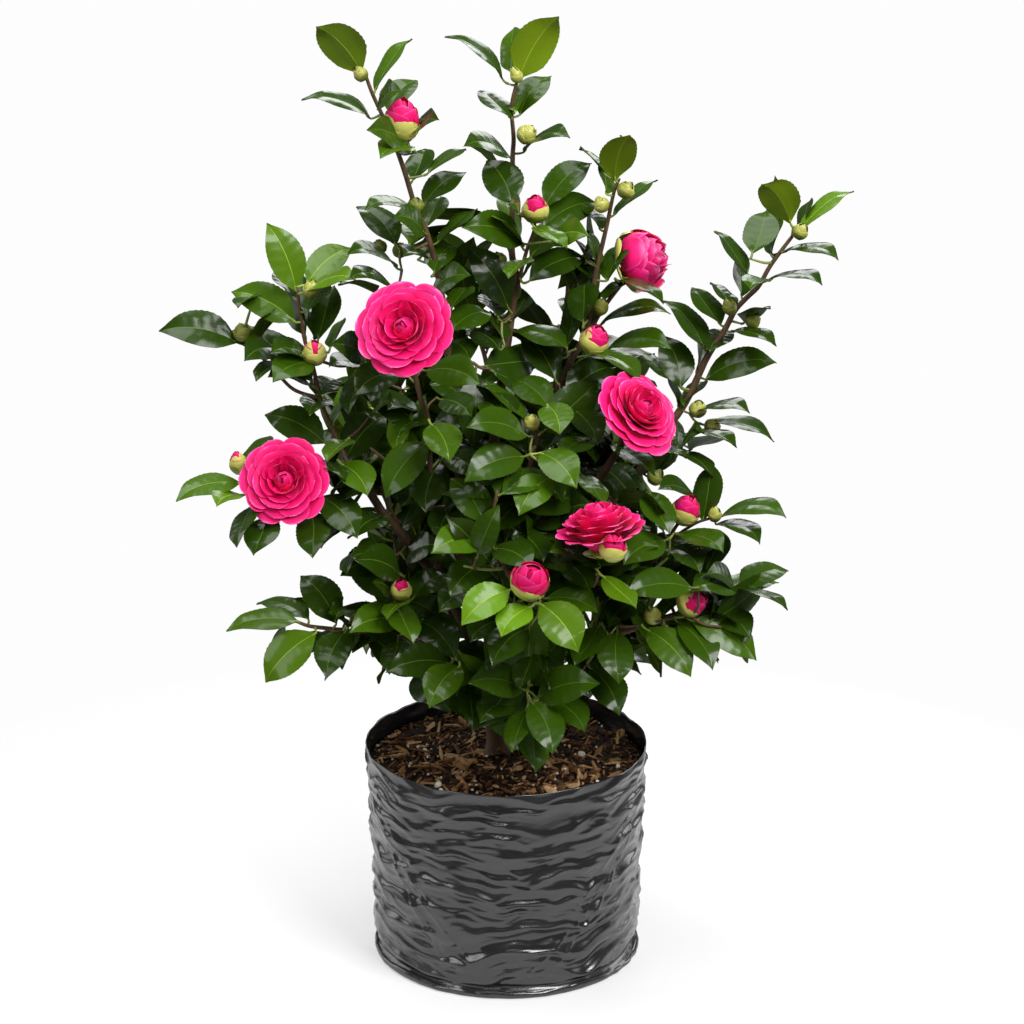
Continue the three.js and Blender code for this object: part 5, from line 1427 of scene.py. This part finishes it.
CHIPS = [chip_material("chip_dark", (0.009, 0.004, 0.002), (0.050, 0.024, 0.010)), chip_material("chip_brown", (0.045, 0.019, 0.007), (0.16, 0.075, 0.027)),
         chip_material("chip_tan", (0.13, 0.062, 0.022), (0.40, 0.21, 0.085)), chip_material("chip_pale", (0.26, 0.145, 0.062), (0.60, 0.38, 0.19))]
PERLITE = chip_material("perlite", (0.50, 0.44, 0.34), (0.80, 0.74, 0.62))

foliage_names = list(MASSES)
made = []
for i, h in enumerate(leaf_heaps):
    ob = h.make("leaves_%d" % (i + 1), LEAF_MATS)
    made.append(ob)
share = np.array_split(foliage_names, len(made))
for ob, names in zip(made, share):
    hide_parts(*[str(n) for n in names])
stalk_ob = stalks.make("leaf_stalks", [STALK_DARK, STALK_FRESH])
twig_ob = twigs.make("twigs", [TWIG, TWIG_GREEN])
wood_ob = wood.make("trunk_and_boughs", [BARK])
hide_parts("trunk", *BOUGHS)
bloom_ob = bloom_heap.make("blooms", [PETAL], attr="rim")
bud_ob = bud_heap.make("buds", [SCALE_GREEN, SCALE_OLIVE, PETAL], attr="rim")
bag_ob = bag_heap.make("film_bag", [FILM, FILM_IN])
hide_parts("grow_bag")
mix_ob = mix_heap.make("mix_surface", [MIX])
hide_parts("potting_mix")
chip_ob = chip_heap.make("bark_chips", CHIPS, smooth=False)
grain_ob = grain_heap.make("perlite_grains", [PERLITE])

# ------------------------------------------------------------------ floor, light, camera
def make_floor():
    me = bpy.data.meshes.new("studio_floor")
    s = 1.0
    me.from_pydata([(-s, -s, 0), (s, -s, 0), (s, s, 0), (-s, s, 0)], [], [(0, 1, 2, 3)])
    ob = bpy.data.objects.new("studio_floor", me)
    bpy.context.scene.collection.objects.link(ob)
    m, nodes, links, p = tree_of("floor_white")
    p.inputs["Base Color"].default_value = (0.45, 0.45, 0.45, 1)
    p.inputs["Roughness"].default_value = 0.9
    p.inputs["Specular IOR Level"].default_value = 0.0
    p.inputs["Emission Color"].default_value = (1, 1, 1, 1)
    tc = nodes.new("ShaderNodeTexCoord")
    far = nodes.new("ShaderNodeVectorMath")
    far.operation = "LENGTH"
    links.new(tc.outputs["Object"], far.inputs[0])
    p.inputs["Emission Strength"].default_value = 0.460
    clear = nodes.new("ShaderNodeBsdfTransparent")
    fade = nodes.new("ShaderNodeMixShader")
    out = next(n for n in nodes if n.type == "OUTPUT_MATERIAL")
    links.new(ranged(nodes, links, far.outputs["Value"], 0.0, 1.0, 0.42, 0.85), fade.inputs["Fac"])
    links.new(p.outputs["BSDF"], fade.inputs[1])
    links.new(clear.outputs["BSDF"], fade.inputs[2])
    links.new(fade.outputs["Shader"], out.inputs["Surface"])
    me.materials.append(m)


def area(name, loc, target, size, power, colour=(1, 1, 1)):
    data = bpy.data.lights.new(name, "AREA")
    data.shape = "RECTANGLE"
    data.size, data.size_y = size
    data.energy = power
    data.color = colour
    ob = bpy.data.objects.new(name, data)
    ob.location = loc
    ob.rotation_euler = (Vector(target) - Vector(loc)).to_track_quat("-Z", "Y").to_euler()
    bpy.context.scene.collection.objects.link(ob)


make_floor()
world = bpy.data.worlds.new("studio")
bpy.context.scene.world = world
world.use_nodes = True
wn, wl = world.node_tree.nodes, world.node_tree.links
back = wn["Background"]
back.inputs["Color"].default_value = (1, 1, 1, 1)
back.inputs["Strength"].default_value = 0.11
white = wn.new("ShaderNodeBackground")
white.inputs["Color"].default_value = (0.985, 0.985, 0.985, 1)
pick = wn.new("ShaderNodeMixShader")
ray = wn.new("ShaderNodeLightPath")
wl.new(ray.outputs["Is Camera Ray"], pick.inputs["Fac"])
wl.new(back.outputs["Background"], pick.inputs[1])
wl.new(white.outputs["Background"], pick.inputs[2])
wl.new(pick.outputs["Shader"], wn["World Output"].inputs["Surface"])
area("key", (1.3, -1.5, 2.5), (0, 0, 0.5), (1.3, 1.3), 82)
area("top", (-0.4, 0.2, 2.6), (0, 0, 0.5), (1.8, 1.8), 54)
area("fill", (-2.0, -1.6, 1.5), (0, 0, 0.45), (1.2, 1.4), 20)
area("strip", (0.35, -2.5, 1.75), (0, 0, 0.3), (0.5, 0.07), 5)
area("back", (0.5, 2.5, 1.9), (0, 0, 0.5), (1.4, 1.0), 22)
area("side_right", (2.3, 0.9, 0.8), (0, 0, 0.3), (1.4, 1.4), 22)
area("side_left", (-2.3, 0.9, 0.8), (0, 0, 0.3), (1.4, 1.4), 13)

cam = bpy.data.cameras.new("camera")
cam.lens = 113.3
cam.sensor_width = 36
cam_ob = bpy.data.objects.new("camera", cam)
cam_ob.location = (0.0054, -3.0, 1.4313)
cam_ob.rotation_euler = (math.radians(90) - 0.313, 0, 0)
bpy.context.scene.collection.objects.link(cam_ob)
bpy.context.scene.camera = cam_ob
bpy.context.scene.view_settings.view_transform = "Standard"
